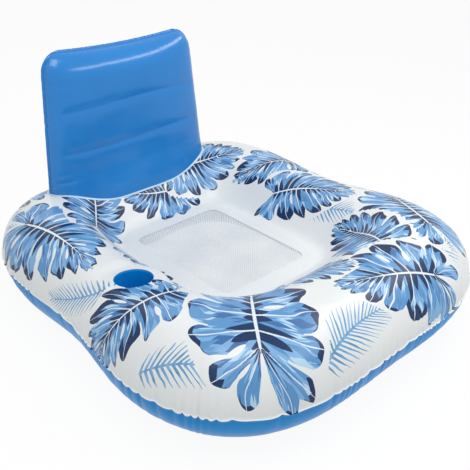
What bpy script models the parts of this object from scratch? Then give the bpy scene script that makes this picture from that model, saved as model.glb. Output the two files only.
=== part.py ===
"""Inflatable pool chair: a square ring with a net seat, a cup well and an upright backrest.

Every piece of film is a thin shell. Metres, +Z up, the sitter faces -Y, and the origin
lies on the floor under the middle of the ring.
"""

import math
from dataclasses import dataclass

import bmesh
import bpy
from mathutils import Matrix, Vector

# Film, net and the clearance between pieces that touch
FILM = 0.0004
NET_THICKNESS = 0.0008
CLEARANCE = 0.0003

# Ring, seen from above: the outer seam has hollow sides and swollen corners
WAIST_WIDTH = 0.950
WAIST_DEPTH = 1.044
CORNER_SWELL_SHARE = 0.10
REAR_SWELL_SHARE = 0.0185
FRONT_FLARE_SHARE = 0.0226
OUTLINE_FORWARD = 0.0025
SEAM_FLANGE = 0.004

# Ring, seen from the side: height of the seam, how far the tube rises above it, and how
# the tube's section leans out and slopes more gently towards the seat
SEAM_HEIGHT = 0.130
CROWN_RISE = 0.1105
CORNER_RISE_SHARE = 0.110
FRONT_RISE_SHARE = 0.055
CROWN_SKEW_SHARE = 0.05
UNDER_SKEW_SHARE = 0.03
INNER_EASE_SHARE = 2.4
FOOT_EDGE_ANGLE = math.radians(78)

# Seat: the opening that shows the net, and the flat welded band round it
SEAT_WIDTH = 0.284
SEAT_DEPTH = 0.364
SEAT_SETBACK = 0.044
SEAT_BAND = 0.050
SEAT_HEM = 0.024
OPENING_POWER = 16
WELD_POWER = 5
NET_ACROSS_COUNT = 10
NET_DEEP_COUNT = 13
NET_CORD = 0.006

# Backrest pillow, in its own leaning frame
BACKREST_SIDE = -0.018
BACKREST_INSET = 0.114
BACKREST_BACK = WAIST_DEPTH / 2 - BACKREST_INSET
BACKREST_FOOT_HEIGHT = 0.222
BACKREST_LEAN = math.radians(2.5)
BACKREST_HEIGHT = 0.387
BACKREST_FOOT_WIDTH = 0.524
BACKREST_TOP_WIDTH = 0.456
BACKREST_CORNER = 0.046
BACKREST_FOOT_DEPTH = 0.120
BACKREST_THICKNESS = 0.104
BACKREST_CROWN = 0.072
BACKREST_SKIRT = 0.060
BACKREST_BLEND = 0.085
BACKREST_POWER = 2.8
BACKREST_FLANGE = 0.005
CREASE_HEIGHTS_SHARES = (0.35, 0.63)
CREASE_DEPTH = 0.006
CREASE_SPREAD = 0.014

# Cup well in the arm at the sitter's right hand
CUP_ANGLE = math.radians(-169.5)
CUP_ARC = math.radians(94.7)
CUP_SINK = 0.006
CUP_RADIUS = 0.045
CUP_FOOT_RADIUS = 0.040
CUP_DEPTH = 0.135
CUP_FLANGE = 0.007
CUP_FLOOR_FLANGE = 0.005
CUP_PRESSED = 0.006
CUP_DISH = 0.034

# Inflation valves
RING_VALVE_ANGLE = math.radians(50)
RING_VALVE_ARC = math.radians(36)
VALVE_SINK = 0.001
BACKREST_VALVE_INSET = 0.142
BACKREST_VALVE_X = BACKREST_FOOT_WIDTH / 2 - BACKREST_VALVE_INSET
BACKREST_VALVE_Z = 0.080
VALVE_HOLE_RADIUS = 0.0095
VALVE_FLANGE_RADIUS = 0.0160
VALVE_FLANGE_THICKNESS = 0.0010
VALVE_SLEEVE_RADIUS = 0.0088
VALVE_SLEEVE_WALL = 0.0010
VALVE_SLEEVE_DEPTH = 0.0180
STEM_RADIUS = 0.0066
STEM_BORE_RADIUS = 0.0045
STEM_SHOULDER_HEIGHT = 0.0012
STEM_TRAVEL = 0.0140
RIM_RADIUS = 0.0100
RIM_THICKNESS = 0.0014
EAR_WIDTH = 0.0044
EAR_REACH = 0.0128
PLUG_TOP_RADIUS = 0.0041
PLUG_TIP_RADIUS = 0.0031
PLUG_NOSE = 0.0044
PLUG_HEAD_RADIUS = 0.0074
PLUG_HEAD_THICKNESS = 0.0016
TETHER_WIDTH = 0.0036
TETHER_THICKNESS = 0.0008
TETHER_PIVOT = 0.0112
FLAP_RADIUS = 0.0056
FLAP_THICKNESS = 0.0005
FLAP_PIVOT = 0.0058
FLAP_TAB_WIDTH = 0.0036
VALVE_PRESSED = 0.009
VALVE_DISH = 0.014

# Length of the cutters of the cup's and the valves' holes
HOLE_CUT = 0.008

# Fineness of the shapes
RING_SEGMENT_COUNT = 56
TOP_ROW_COUNT = 9
UNDER_ROW_COUNT = 7
PILLOW_COLUMN_COUNT = 18
CORNER_ROW_COUNT = 4
ROUND_STEP_COUNT = 32
VALVE_STEP_COUNT = 24
CUP_CUT_COUNT = 3
VALVE_CUT_COUNT = 3

# Colours and finishes: red, green, blue, then roughness
PRINTED_WHITE = (0.85, 0.88, 0.92, 0.28)
RING_BLUE = (0.09, 0.36, 0.78, 0.28)
BACKREST_BLUE = (0.04, 0.25, 0.68, 0.22)
CUP_BLUE = (0.01, 0.13, 0.50, 0.30)
NET_WHITE = (0.86, 0.88, 0.90, 0.60)
VALVE_CLEAR = (0.78, 0.84, 0.90, 0.30)

# Shares and tolerances
SHARP_ANGLE = math.radians(40)
MERGE_DISTANCE = 0.00001
FOOT_STEEPEST_SHARE = 0.15
SEAM_SIDE_SHARE = -0.999
EAR_THINNED_SHARE = 0.98
TIE_SHORT_COLUMN_COUNT = 3

# Stations across a ring sheet, from the seat opening out to the flange
BAND_ROW_COUNT = 2
FLANGE_ROW_COUNT = 1

# The backrest's leaning frame, and where its valve lies round the pillow's section
BACKREST_FRAME = (
    Matrix.Translation((BACKREST_SIDE, BACKREST_BACK, BACKREST_FOOT_HEIGHT))
    @ Matrix.Rotation(-BACKREST_LEAN, 4, "X")
)
BACKREST_VALVE_ARC = math.acos(
    (2 * BACKREST_VALVE_X / BACKREST_FOOT_WIDTH) ** (BACKREST_POWER / 2)
)


def seat_line(angle, grow, power):
    """Point of a rounded rectangle round the seat, `grow` outside the opening."""
    cosine, sine = math.cos(angle), math.sin(angle)
    reach = (abs(cosine) ** power + abs(sine) ** power) ** (-1 / power)
    return Vector((
        (SEAT_WIDTH / 2 + grow) * reach * cosine,
        SEAT_SETBACK + (SEAT_DEPTH / 2 + grow) * reach * sine,
    ))


def outer_seam(angle, grow=0.0):
    """Point of the ring's outer seam, seen from above."""
    swell = 1 - CORNER_SWELL_SHARE * math.cos(4 * angle) - REAR_SWELL_SHARE * math.sin(5 * angle)
    swell /= 1 - CORNER_SWELL_SHARE
    sway = swell * math.sin(angle)
    flare = 1 - FRONT_FLARE_SHARE * sway
    return Vector((
        (WAIST_WIDTH / 2 * swell * flare + grow) * math.cos(angle),
        WAIST_DEPTH / 2 * sway + grow * math.sin(angle) - OUTLINE_FORWARD,
    ))


def crown_rise(angle):
    """Rise of the tube above its seam, higher at the corners and at the front."""
    corner = CORNER_RISE_SHARE * math.cos(4 * angle)
    front = FRONT_RISE_SHARE * math.sin(angle)
    return CROWN_RISE * (1 - corner - front)


def tube_point(angle, arc, lower):
    """Point of the tube's outer face: arc runs from pi at the seat to zero at the seam."""
    inner = seat_line(angle, SEAT_BAND, WELD_POWER)
    outer = outer_seam(angle)
    bulge = max(0.0, math.sin(arc))
    skew = UNDER_SKEW_SHARE if lower else CROWN_SKEW_SHARE
    flat = inner.lerp(outer, (1 + math.cos(arc)) / 2 + skew * bulge * bulge)
    ease = 1 + INNER_EASE_SHARE * max(0.0, -math.cos(arc))
    face = CLEARANCE / 2 + FILM
    if lower:
        drop = min(1.0, bulge / math.sin(FOOT_EDGE_ANGLE)) ** ease
        return Vector((flat.x, flat.y, (SEAM_HEIGHT - face) * (1 - drop)))
    return Vector((flat.x, flat.y, SEAM_HEIGHT + face + crown_rise(angle) * bulge ** ease))


def band_point(angle, station, lower):
    """Point of the flat band between the seat opening and the tube."""
    hem_face = NET_THICKNESS / 2 + CLEARANCE + FILM
    weld_face = CLEARANCE / 2 + FILM
    opening = seat_line(angle, 0.0, OPENING_POWER)
    hem = seat_line(angle, SEAT_HEM + CLEARANCE, OPENING_POWER)
    weld = seat_line(angle, SEAT_BAND, WELD_POWER)
    if station <= 1:
        flat, face = opening.lerp(hem, station), hem_face
    else:
        flat = hem.lerp(weld, station - 1)
        face = hem_face + (weld_face - hem_face) * (station - 1)
    side = -1 if lower else 1
    return Vector((flat.x, flat.y, SEAM_HEIGHT + side * face))


def ring_point(angle, station, lower):
    """Point of a ring sheet's outer face at a station counted out from the opening."""
    if station < BAND_ROW_COUNT:
        return band_point(angle, station, lower)
    turn = (station - BAND_ROW_COUNT) / (UNDER_ROW_COUNT if lower else TOP_ROW_COUNT)
    if turn > 1:
        flat = outer_seam(angle, SEAM_FLANGE)
        side = -1 if lower else 1
        return Vector((flat.x, flat.y, SEAM_HEIGHT + side * (CLEARANCE / 2 + FILM)))
    arc = foot_arc(turn) if lower else math.pi * (1 - turn)
    return tube_point(angle, arc, lower)


def foot_arc(turn):
    """Spread the rows of the lower half so that two of them edge the flat foot."""
    foot_turn = (UNDER_ROW_COUNT - 1) / 2 / UNDER_ROW_COUNT
    if turn < foot_turn:
        return math.pi - FOOT_EDGE_ANGLE * turn / foot_turn
    if turn > 1 - foot_turn:
        return FOOT_EDGE_ANGLE * (1 - turn) / foot_turn
    middle = (turn - foot_turn) / (1 - 2 * foot_turn)
    return math.pi - FOOT_EDGE_ANGLE - middle * (math.pi - 2 * FOOT_EDGE_ANGLE)


def pillow_half_depth(height):
    """Half the pillow's thickness at a height, without its creases."""
    foot, middle = BACKREST_FOOT_DEPTH / 2, BACKREST_THICKNESS / 2
    blend = min(1.0, max(0.0, height / BACKREST_BLEND))
    depth = foot + (middle - foot) * blend * blend * (3 - 2 * blend)
    for share in CREASE_HEIGHTS_SHARES:
        offset = (height - share * BACKREST_HEIGHT) / CREASE_SPREAD
        depth -= CREASE_DEPTH * math.exp(-offset * offset)
    above = (height - (BACKREST_HEIGHT - BACKREST_CROWN)) / BACKREST_CROWN
    if above > 0:
        depth *= math.sqrt(max(0.0, 1 - above * above))
    return depth


def pillow_half_width(height):
    """Half the pillow's width at a height, drawn in round the top corners."""
    climb = min(1.0, max(0.0, height / BACKREST_HEIGHT))
    width = BACKREST_FOOT_WIDTH + (BACKREST_TOP_WIDTH - BACKREST_FOOT_WIDTH) * climb
    above = (height - (BACKREST_HEIGHT - BACKREST_CORNER)) / BACKREST_CORNER
    if above <= 0:
        return width / 2
    return width / 2 - BACKREST_CORNER * (1 - math.sqrt(max(0.0, 1 - above * above)))


def pillow_point(arc, height, side):
    """Point of a panel's outer face in the backrest's frame: side is -1 in front."""
    cosine, sine = math.cos(arc), max(0.0, math.sin(arc))
    across = math.copysign(abs(cosine) ** (2 / BACKREST_POWER), cosine)
    bulge = sine ** (2 / BACKREST_POWER)
    face = CLEARANCE / 2 + FILM
    return Vector((
        across * pillow_half_width(height),
        side * (face + pillow_half_depth(height) * bulge),
        height,
    ))


def pillow_heights():
    """Heights of the rows of a panel, from its skirt under the foot to its top seam."""
    heights = [-BACKREST_SKIRT, 0.0, BACKREST_BLEND / 2, BACKREST_BLEND]
    for share in CREASE_HEIGHTS_SHARES:
        crease = share * BACKREST_HEIGHT
        heights += [crease - CREASE_SPREAD, crease, crease + CREASE_SPREAD]
    middle = (CREASE_HEIGHTS_SHARES[0] + CREASE_HEIGHTS_SHARES[1]) / 2 * BACKREST_HEIGHT
    heights.append(middle)
    start = BACKREST_HEIGHT - BACKREST_CORNER
    heights.append((start + heights[-2]) / 2)
    for row in range(CORNER_ROW_COUNT + 1):
        heights.append(start + BACKREST_CORNER * math.sin(math.pi / 2 * row / CORNER_ROW_COUNT))
    return sorted(heights)


def frame_on(surface, first, second, outward, sink):
    """Frame sunk a little into a surface: Z along its normal, Y up the slope."""
    step = math.radians(1) / 2
    along = surface(first + step, second) - surface(first - step, second)
    across = surface(first, second + step) - surface(first, second - step)
    normal = along.cross(across).normalized()
    if normal.dot(outward) < 0:
        normal.negate()
    uphill = (Vector((0, 0, 1)) - normal * normal.z).normalized()
    axes = Matrix((uphill.cross(normal), uphill, normal)).transposed().to_4x4()
    return Matrix.Translation(surface(first, second) - normal * sink) @ axes


def ring_top(angle, arc):
    """Point of the printed half of the tube."""
    return tube_point(angle, arc, False)


def backrest_rear(arc, height):
    """Point of the rear panel."""
    return pillow_point(arc, height, 1)


UPWARD = Vector((0, 0, 1))
BACKWARD = Vector((0, 1, 0))
CUP_FRAME = frame_on(ring_top, CUP_ANGLE, CUP_ARC, UPWARD, CUP_SINK)
RING_VALVE_FRAME = frame_on(ring_top, RING_VALVE_ANGLE, RING_VALVE_ARC, UPWARD, VALVE_SINK)
BACKREST_VALVE_FRAME = frame_on(
    backrest_rear, BACKREST_VALVE_ARC, BACKREST_VALVE_Z, BACKWARD, VALVE_SINK
)


@dataclass
class Fitting:
    """A place where the film is pressed flat round a cup or a valve."""

    frame: Matrix
    flat: float
    dish: float
    cuts: int

    def touches(self, points):
        """Tell whether one of a face's points lies in the part that the fitting shapes."""
        reach = self.flat + self.dish / 2
        return any((point - self.frame.translation).length < reach for point in points)

    def press(self, point):
        """Press a point of the film flat, fading out over the width of the dish."""
        local = self.frame.inverted() @ point
        distance = math.hypot(local.x, local.y)
        if distance > self.flat + self.dish or abs(local.z) > self.flat:
            return point
        fade = min(1.0, max(0.0, (distance - self.flat) / self.dish))
        local.z *= fade * fade * (3 - 2 * fade)
        return self.frame @ local


VALVE_FLAT = VALVE_FLANGE_RADIUS + VALVE_PRESSED
CUP_FITTING = Fitting(CUP_FRAME, CUP_RADIUS + CUP_FLANGE + CUP_PRESSED, CUP_DISH, CUP_CUT_COUNT)
RING_VALVE_FITTING = Fitting(RING_VALVE_FRAME, VALVE_FLAT, VALVE_DISH, VALVE_CUT_COUNT)
BACKREST_VALVE_FITTING = Fitting(BACKREST_VALVE_FRAME, VALVE_FLAT, VALVE_DISH, VALVE_CUT_COUNT)
RING_FITTINGS = (CUP_FITTING, RING_VALVE_FITTING)


def clear_scene():
    """Remove every object of the scene."""
    for item in list(bpy.data.objects):
        bpy.data.objects.remove(item, do_unlink=True)


def make_collection(name):
    """Make a collection in the scene."""
    group = bpy.data.collections.new(name)
    bpy.context.scene.collection.children.link(group)
    return group


def make_material(name, finish):
    """Make a Principled material from a colour and a roughness."""
    material = bpy.data.materials.new(name)
    material.use_nodes = True
    shader = material.node_tree.nodes["Principled BSDF"]
    shader.inputs["Base Color"].default_value = (*finish[:3], 1.0)
    shader.inputs["Roughness"].default_value = finish[3]
    shader.inputs["Metallic"].default_value = 0.0
    return material


def add_object(name, shape, group, finish=None):
    """Turn a bmesh into a named, smoothly shaded object of a collection."""
    mesh = bpy.data.meshes.new(name)
    shape.to_mesh(mesh)
    shape.free()
    mesh.shade_smooth()
    mesh.set_sharp_from_angle(angle=SHARP_ANGLE)
    item = bpy.data.objects.new(name, mesh)
    group.objects.link(item)
    if finish:
        mesh.materials.append(make_material(name, finish))
    return item


def add_empty(name, group, frame):
    """Add an empty at a frame, to carry the pieces of one fitting."""
    item = bpy.data.objects.new(name, None)
    item.matrix_world = frame
    item.empty_display_size = CUP_RADIUS
    group.objects.link(item)
    return item


def hang(item, parent, place=(0.0, 0.0, 0.0)):
    """Parent an object and place it in its parent's frame."""
    item.parent = parent
    item.location = place
    return item


def hide_cutter(item):
    """Mark an object as a cutter."""
    item.hide_render = True
    item.display_type = "WIRE"
    return item


def thicken(item, thickness, offset):
    """Give an open surface its wall."""
    wall = item.modifiers.new("wall", "SOLIDIFY")
    wall.thickness = thickness
    wall.offset = offset
    wall.use_even_offset = True
    return item


def cut(item, cutter):
    """Cut an object with a closed cutter."""
    boolean = item.modifiers.new("cut " + cutter.name, "BOOLEAN")
    boolean.operation = "DIFFERENCE"
    boolean.solver = "EXACT"
    boolean.object = cutter
    return item


def round_cutter(name, group, frame, radius, length):
    """Make a round cutter centred on a frame."""
    shape = bmesh.new()
    bmesh.ops.create_cone(
        shape, cap_ends=True, segments=ROUND_STEP_COUNT,
        radius1=radius, radius2=radius, depth=length,
    )
    item = hide_cutter(add_object(name, shape, group))
    item.matrix_world = frame
    return item


def face_towards(shape, direction):
    """Turn all faces of a flat sheet to one side."""
    shape.normal_update()
    if shape.faces[:][0].normal.dot(direction) < 0:
        bmesh.ops.reverse_faces(shape, faces=shape.faces[:])


def refine(shape, locate, fittings):
    """Subdivide a flat sheet where its mapped place lies in reach of a fitting."""
    for fitting in fittings:
        near = [
            face for face in shape.faces
            if fitting.touches(locate(place) for place in
                               [face.calc_center_median(), *(v.co for v in face.verts)])
        ]
        edges = {edge for face in near for edge in face.edges}
        bmesh.ops.subdivide_edges(
            shape, edges=list(edges), cuts=fitting.cuts, use_grid_fill=True
        )


def ring_surface(lower, fittings):
    """Outer face of a ring sheet: a flat annulus of stations, then blown up."""
    last = BAND_ROW_COUNT + (UNDER_ROW_COUNT if lower else TOP_ROW_COUNT) + FLANGE_ROW_COUNT

    def locate(flat):
        angle = math.atan2(flat.y, flat.x)
        station = min(last, max(0.0, math.hypot(flat.x, flat.y) - 1))
        return ring_point(angle, station, lower)

    shape = bmesh.new()
    row = [shape.verts.new((1 + station, 0, 0)) for station in range(last + 1)]
    edges = [shape.edges.new(pair) for pair in zip(row, row[1:])]
    bmesh.ops.spin(
        shape, geom=row + edges, axis=(0, 0, 1), cent=(0, 0, 0),
        angle=2 * math.pi, steps=RING_SEGMENT_COUNT, use_merge=True,
    )
    face_towards(shape, Vector((0, 0, -1 if lower else 1)))
    refine(shape, locate, fittings)
    for vert in shape.verts:
        vert.co = locate(vert.co)
        for fitting in fittings:
            vert.co = fitting.press(vert.co)
    bmesh.ops.triangulate(shape, faces=shape.faces[:])
    return shape


def make_ring(parts, cutters):
    """Make the two sheets of the ring, which meet at the outer seam and round the seat."""
    top = add_object(
        "ring_top_sheet", ring_surface(False, RING_FITTINGS), parts, PRINTED_WHITE
    )
    thicken(top, FILM, -1)
    cup = round_cutter("cup_hole", cutters, CUP_FRAME, CUP_RADIUS, HOLE_CUT)
    valve = round_cutter(
        "ring_valve_hole", cutters, RING_VALVE_FRAME, VALVE_HOLE_RADIUS, HOLE_CUT
    )
    cut(top, cup)
    cut(top, valve)
    bottom = add_object("ring_bottom_sheet", ring_surface(True, ()), parts, RING_BLUE)
    thicken(bottom, FILM, -1)


def make_seat(parts):
    """Make the net: a sheet of square gaps with a whole hem between the ring's bands."""
    columns, rows = NET_ACROSS_COUNT + 2, NET_DEEP_COUNT + 2
    shape = bmesh.new()
    bmesh.ops.create_grid(shape, x_segments=columns, y_segments=rows, size=1)
    inner = [
        face for face in shape.faces
        if max(abs(face.calc_center_median().x) * columns / NET_ACROSS_COUNT,
               abs(face.calc_center_median().y) * rows / NET_DEEP_COUNT) < 1
    ]
    for vert in shape.verts:
        vert.co = net_point(vert.co.x * columns / 2, vert.co.y * rows / 2)
    bmesh.ops.inset_individual(shape, faces=inner, thickness=NET_CORD / 2)
    bmesh.ops.delete(shape, geom=inner, context="FACES")
    net = add_object("seat_mesh", shape, parts, NET_WHITE)
    thicken(net, NET_THICKNESS, 0)


def net_point(column, row):
    """Place of a grid point of the net, counted in cells from its middle."""
    x = stretch(column, NET_ACROSS_COUNT / 2, SEAT_WIDTH / 2)
    y = stretch(row, NET_DEEP_COUNT / 2, SEAT_DEPTH / 2)
    corner = abs(column) > NET_ACROSS_COUNT / 2 and abs(row) > NET_DEEP_COUNT / 2
    round_off = 2 ** (-1 / OPENING_POWER) if corner else 1
    return Vector((x * round_off, SEAT_SETBACK + y * round_off, SEAM_HEIGHT))


def stretch(cells, half_cells, half_size):
    """Turn a count of cells into a length, with the hem beyond the opening."""
    if abs(cells) > half_cells:
        return math.copysign(half_size + SEAT_HEM, cells)
    return cells / half_cells * half_size


def outline_normal(point):
    """Direction out of the pillow's outline at a point of its seam."""
    corner_height = BACKREST_HEIGHT - BACKREST_CORNER
    core = pillow_half_width(corner_height) - BACKREST_CORNER
    away = Vector((
        point.x - min(core, max(-core, point.x)), 0.0, point.z - min(corner_height, point.z)
    ))
    return away.normalized()


def panel_surface(side, fittings):
    """Outer face of a backrest panel with its weld flange."""
    heights = pillow_heights()
    rows = len(heights) - 1

    def locate(flat):
        arc = math.pi * (1 - flat.x) / 2
        place = min(float(rows), max(0.0, (flat.y + 1) / 2 * rows))
        row = min(rows - 1, int(place))
        height = heights[row] + (heights[row + 1] - heights[row]) * (place - row)
        return pillow_point(arc, height, side)

    shape = bmesh.new()
    bmesh.ops.create_grid(shape, x_segments=PILLOW_COLUMN_COUNT, y_segments=rows, size=1)
    if side > 0:
        bmesh.ops.reverse_faces(shape, faces=shape.faces[:])
    refine(shape, locate, fittings)
    seam = [
        edge for edge in shape.edges
        if edge.is_boundary and max(vert.co.y for vert in edge.verts) > SEAM_SIDE_SHARE
    ]
    for vert in shape.verts:
        vert.co = locate(vert.co)
        for fitting in fittings:
            vert.co = fitting.press(vert.co)
    flange = bmesh.ops.extrude_edge_only(shape, edges=seam)["geom"]
    for vert in [item for item in flange if isinstance(item, bmesh.types.BMVert)]:
        vert.co += outline_normal(vert.co) * BACKREST_FLANGE
    return shape


def foot_cutter(group):
    """Make a closed block whose top is the printed sheet, one clearance higher."""
    shape = ring_surface(False, RING_FITTINGS)
    shape.normal_update()
    drop = [
        face for face in shape.faces
        if face.calc_center_median().y <= BACKREST_BACK - BACKREST_FOOT_DEPTH
        or face.normal.z <= FOOT_STEEPEST_SHARE
    ]
    raised = {vert: vert.co + vert.normal * CLEARANCE for vert in shape.verts}
    for vert, place in raised.items():
        vert.co = place
    bmesh.ops.delete(shape, geom=drop, context="FACES")
    result = bmesh.ops.extrude_face_region(
        shape, geom=shape.faces[:], use_keep_orig=True
    )
    for vert in [item for item in result["geom"] if isinstance(item, bmesh.types.BMVert)]:
        vert.co.z = 0.0
    bmesh.ops.recalc_face_normals(shape, faces=shape.faces[:])
    return hide_cutter(add_object("backrest_foot_cutter", shape, group))


def make_backrest(parts, cutters):
    """Make the pillow of two panels and its inner ties."""
    carrier = add_empty("backrest_frame", parts, BACKREST_FRAME)
    foot = foot_cutter(cutters)
    hole = round_cutter(
        "backrest_valve_hole", cutters, BACKREST_FRAME @ BACKREST_VALVE_FRAME,
        VALVE_HOLE_RADIUS, HOLE_CUT,
    )
    front = add_object("backrest_front_panel", panel_surface(-1, ()), parts, BACKREST_BLUE)
    rear = add_object(
        "backrest_rear_panel", panel_surface(1, (BACKREST_VALVE_FITTING,)),
        parts, BACKREST_BLUE,
    )
    for panel in (front, rear):
        hang(panel, carrier)
        thicken(panel, FILM, -1)
        cut(panel, foot)
    cut(rear, hole)
    for name, share in zip(("lower", "upper"), CREASE_HEIGHTS_SHARES):
        make_tie(f"backrest_{name}_tie", share * BACKREST_HEIGHT, parts, carrier)


def make_tie(name, height, parts, carrier):
    """Make a strip that holds the two panels together at a crease."""
    columns = PILLOW_COLUMN_COUNT - 2 * TIE_SHORT_COLUMN_COUNT
    shape = bmesh.new()
    bmesh.ops.create_grid(shape, x_segments=columns, y_segments=2, size=1)
    for vert in shape.verts:
        column = PILLOW_COLUMN_COUNT / 2 + vert.co.x * columns / 2
        edge = pillow_point(math.pi * (1 - column / PILLOW_COLUMN_COUNT), height, 1)
        inside = edge.y - CLEARANCE / 2 - FILM - 2 * CLEARANCE
        vert.co = Vector((edge.x, vert.co.y * inside, 0.0))
    tie = add_object(name, shape, parts, BACKREST_BLUE)
    thicken(tie, FILM, 0)
    hang(tie, carrier, (0.0, 0.0, height))


def turned(name, profile, steps, parts, finish, closed):
    """Turn a profile of (radius, height) points round Z with a Screw modifier."""
    mesh = bpy.data.meshes.new(name)
    points = [(radius, 0.0, height) for radius, height in profile]
    edges = [(index, index + 1) for index in range(len(points) - 1)]
    if closed:
        edges.append((len(points) - 1, 0))
    mesh.from_pydata(points, edges, [])
    item = bpy.data.objects.new(name, mesh)
    parts.objects.link(item)
    mesh.materials.append(make_material(name, finish))
    screw = item.modifiers.new("turn", "SCREW")
    screw.angle = 2 * math.pi
    screw.steps = steps
    screw.render_steps = steps
    screw.use_merge_vertices = True
    screw.merge_threshold = MERGE_DISTANCE
    screw.use_smooth_shade = True
    return item


def make_cup(parts):
    """Make the cup's sleeve, flanged at both ends, and its floor."""
    carrier = add_empty("cup_frame", parts, CUP_FRAME)
    under_film = -FILM - CLEARANCE
    foot_flange = CUP_FOOT_RADIUS + CUP_FLOOR_FLANGE
    profile = [
        (CUP_RADIUS + CUP_FLANGE, under_film),
        (CUP_RADIUS, under_film),
        (CUP_FOOT_RADIUS, -CUP_DEPTH),
        (foot_flange, -CUP_DEPTH),
    ]
    wall = turned("cup_wall", profile, ROUND_STEP_COUNT, parts, CUP_BLUE, closed=False)
    hang(wall, carrier)
    thicken(wall, FILM, 1)
    shape = bmesh.new()
    bmesh.ops.create_cone(
        shape, cap_ends=True, segments=ROUND_STEP_COUNT,
        radius1=foot_flange, radius2=foot_flange, depth=FILM,
    )
    floor = add_object("cup_floor", shape, parts, CUP_BLUE)
    hang(floor, carrier, (0.0, 0.0, -CUP_DEPTH - CLEARANCE - FILM / 2))


def bar(name, group, size, middle):
    """Make a small straight bar, to be joined to a turned piece."""
    shape = bmesh.new()
    bmesh.ops.create_cube(shape, size=1)
    bmesh.ops.scale(shape, vec=size, verts=shape.verts[:])
    bmesh.ops.translate(shape, vec=middle, verts=shape.verts[:])
    return hide_cutter(add_object(name, shape, group))


def join_to(item, extra):
    """Join a piece with a bar that lies in the same frame."""
    hang(extra, item)
    boolean = item.modifiers.new("join " + extra.name, "BOOLEAN")
    boolean.operation = "UNION"
    boolean.solver = "EXACT"
    boolean.object = extra


def make_valve(prefix, frame, parts, cutters):
    """Make a push-in valve: base under the film, sliding stem, plug and check flap."""
    seat = add_empty(prefix + "_valve_frame", parts, frame)
    flange_top = -FILM - CLEARANCE
    flange_bottom = flange_top - VALVE_FLANGE_THICKNESS
    sleeve_bore = VALVE_SLEEVE_RADIUS - VALVE_SLEEVE_WALL
    lip_radius = STEM_RADIUS + CLEARANCE
    base = turned(
        prefix + "_valve_base",
        [
            (VALVE_FLANGE_RADIUS, flange_top),
            (VALVE_FLANGE_RADIUS, flange_bottom),
            (VALVE_SLEEVE_RADIUS, flange_bottom),
            (VALVE_SLEEVE_RADIUS, -VALVE_SLEEVE_DEPTH),
            (sleeve_bore, -VALVE_SLEEVE_DEPTH),
            (sleeve_bore, flange_bottom),
            (lip_radius, flange_bottom),
            (lip_radius, flange_top),
        ],
        VALVE_STEP_COUNT, parts, VALVE_CLEAR, closed=True,
    )
    hang(base, seat)
    stem = make_stem(prefix, seat, flange_bottom, sleeve_bore, parts, cutters)
    make_plug(prefix, stem, parts, cutters)
    make_flap(prefix, stem, flange_bottom, parts, cutters)


def stem_bottom(flange_bottom):
    """Height of the stem's lower end: its shoulder meets the lip when it is pulled out."""
    return flange_bottom - CLEARANCE - STEM_TRAVEL - STEM_SHOULDER_HEIGHT


def make_stem(prefix, seat, flange_bottom, sleeve_bore, parts, cutters):
    """Make the stem with its rim on the film, its shoulder below and the tether's ear."""
    rim_top = CLEARANCE + RIM_THICKNESS
    bottom = stem_bottom(flange_bottom)
    shoulder_radius = sleeve_bore - CLEARANCE
    shoulder_top = bottom + STEM_SHOULDER_HEIGHT
    stem = turned(
        prefix + "_valve_stem",
        [
            (RIM_RADIUS, rim_top),
            (RIM_RADIUS, CLEARANCE),
            (STEM_RADIUS, CLEARANCE),
            (STEM_RADIUS, shoulder_top),
            (shoulder_radius, shoulder_top),
            (shoulder_radius, bottom),
            (STEM_BORE_RADIUS, bottom),
            (STEM_BORE_RADIUS, rim_top),
        ],
        VALVE_STEP_COUNT, parts, VALVE_CLEAR, closed=True,
    )
    hang(stem, seat)
    inner = (STEM_RADIUS + RIM_RADIUS) / 2
    ear = bar(
        prefix + "_valve_ear", cutters,
        (EAR_WIDTH, EAR_REACH - inner, RIM_THICKNESS * EAR_THINNED_SHARE),
        (0.0, (EAR_REACH + inner) / 2, CLEARANCE + RIM_THICKNESS / 2),
    )
    join_to(stem, ear)
    return stem


def make_plug(prefix, stem, parts, cutters):
    """Make the plug, whose origin lies on the tether's hinge."""
    head_bottom = CLEARANCE + RIM_THICKNESS + CLEARANCE
    pivot = head_bottom + TETHER_THICKNESS / 2
    low = head_bottom - pivot
    plug = turned(
        prefix + "_valve_plug",
        [
            (0.0, low + PLUG_HEAD_THICKNESS),
            (PLUG_HEAD_RADIUS, low + PLUG_HEAD_THICKNESS),
            (PLUG_HEAD_RADIUS, low),
            (PLUG_TOP_RADIUS, low),
            (PLUG_TIP_RADIUS, low - PLUG_NOSE),
            (0.0, low - PLUG_NOSE),
        ],
        VALVE_STEP_COUNT, parts, VALVE_CLEAR, closed=False,
    )
    move_turned(plug, -TETHER_PIVOT)
    hang(plug, stem, (0.0, TETHER_PIVOT, pivot))
    inner = PLUG_TOP_RADIUS - TETHER_PIVOT
    outer = TETHER_THICKNESS / 2
    tether = bar(
        prefix + "_valve_tether", cutters,
        (TETHER_WIDTH, outer - inner, TETHER_THICKNESS * EAR_THINNED_SHARE),
        (0.0, (outer + inner) / 2, 0.0),
    )
    join_to(plug, tether)


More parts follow.
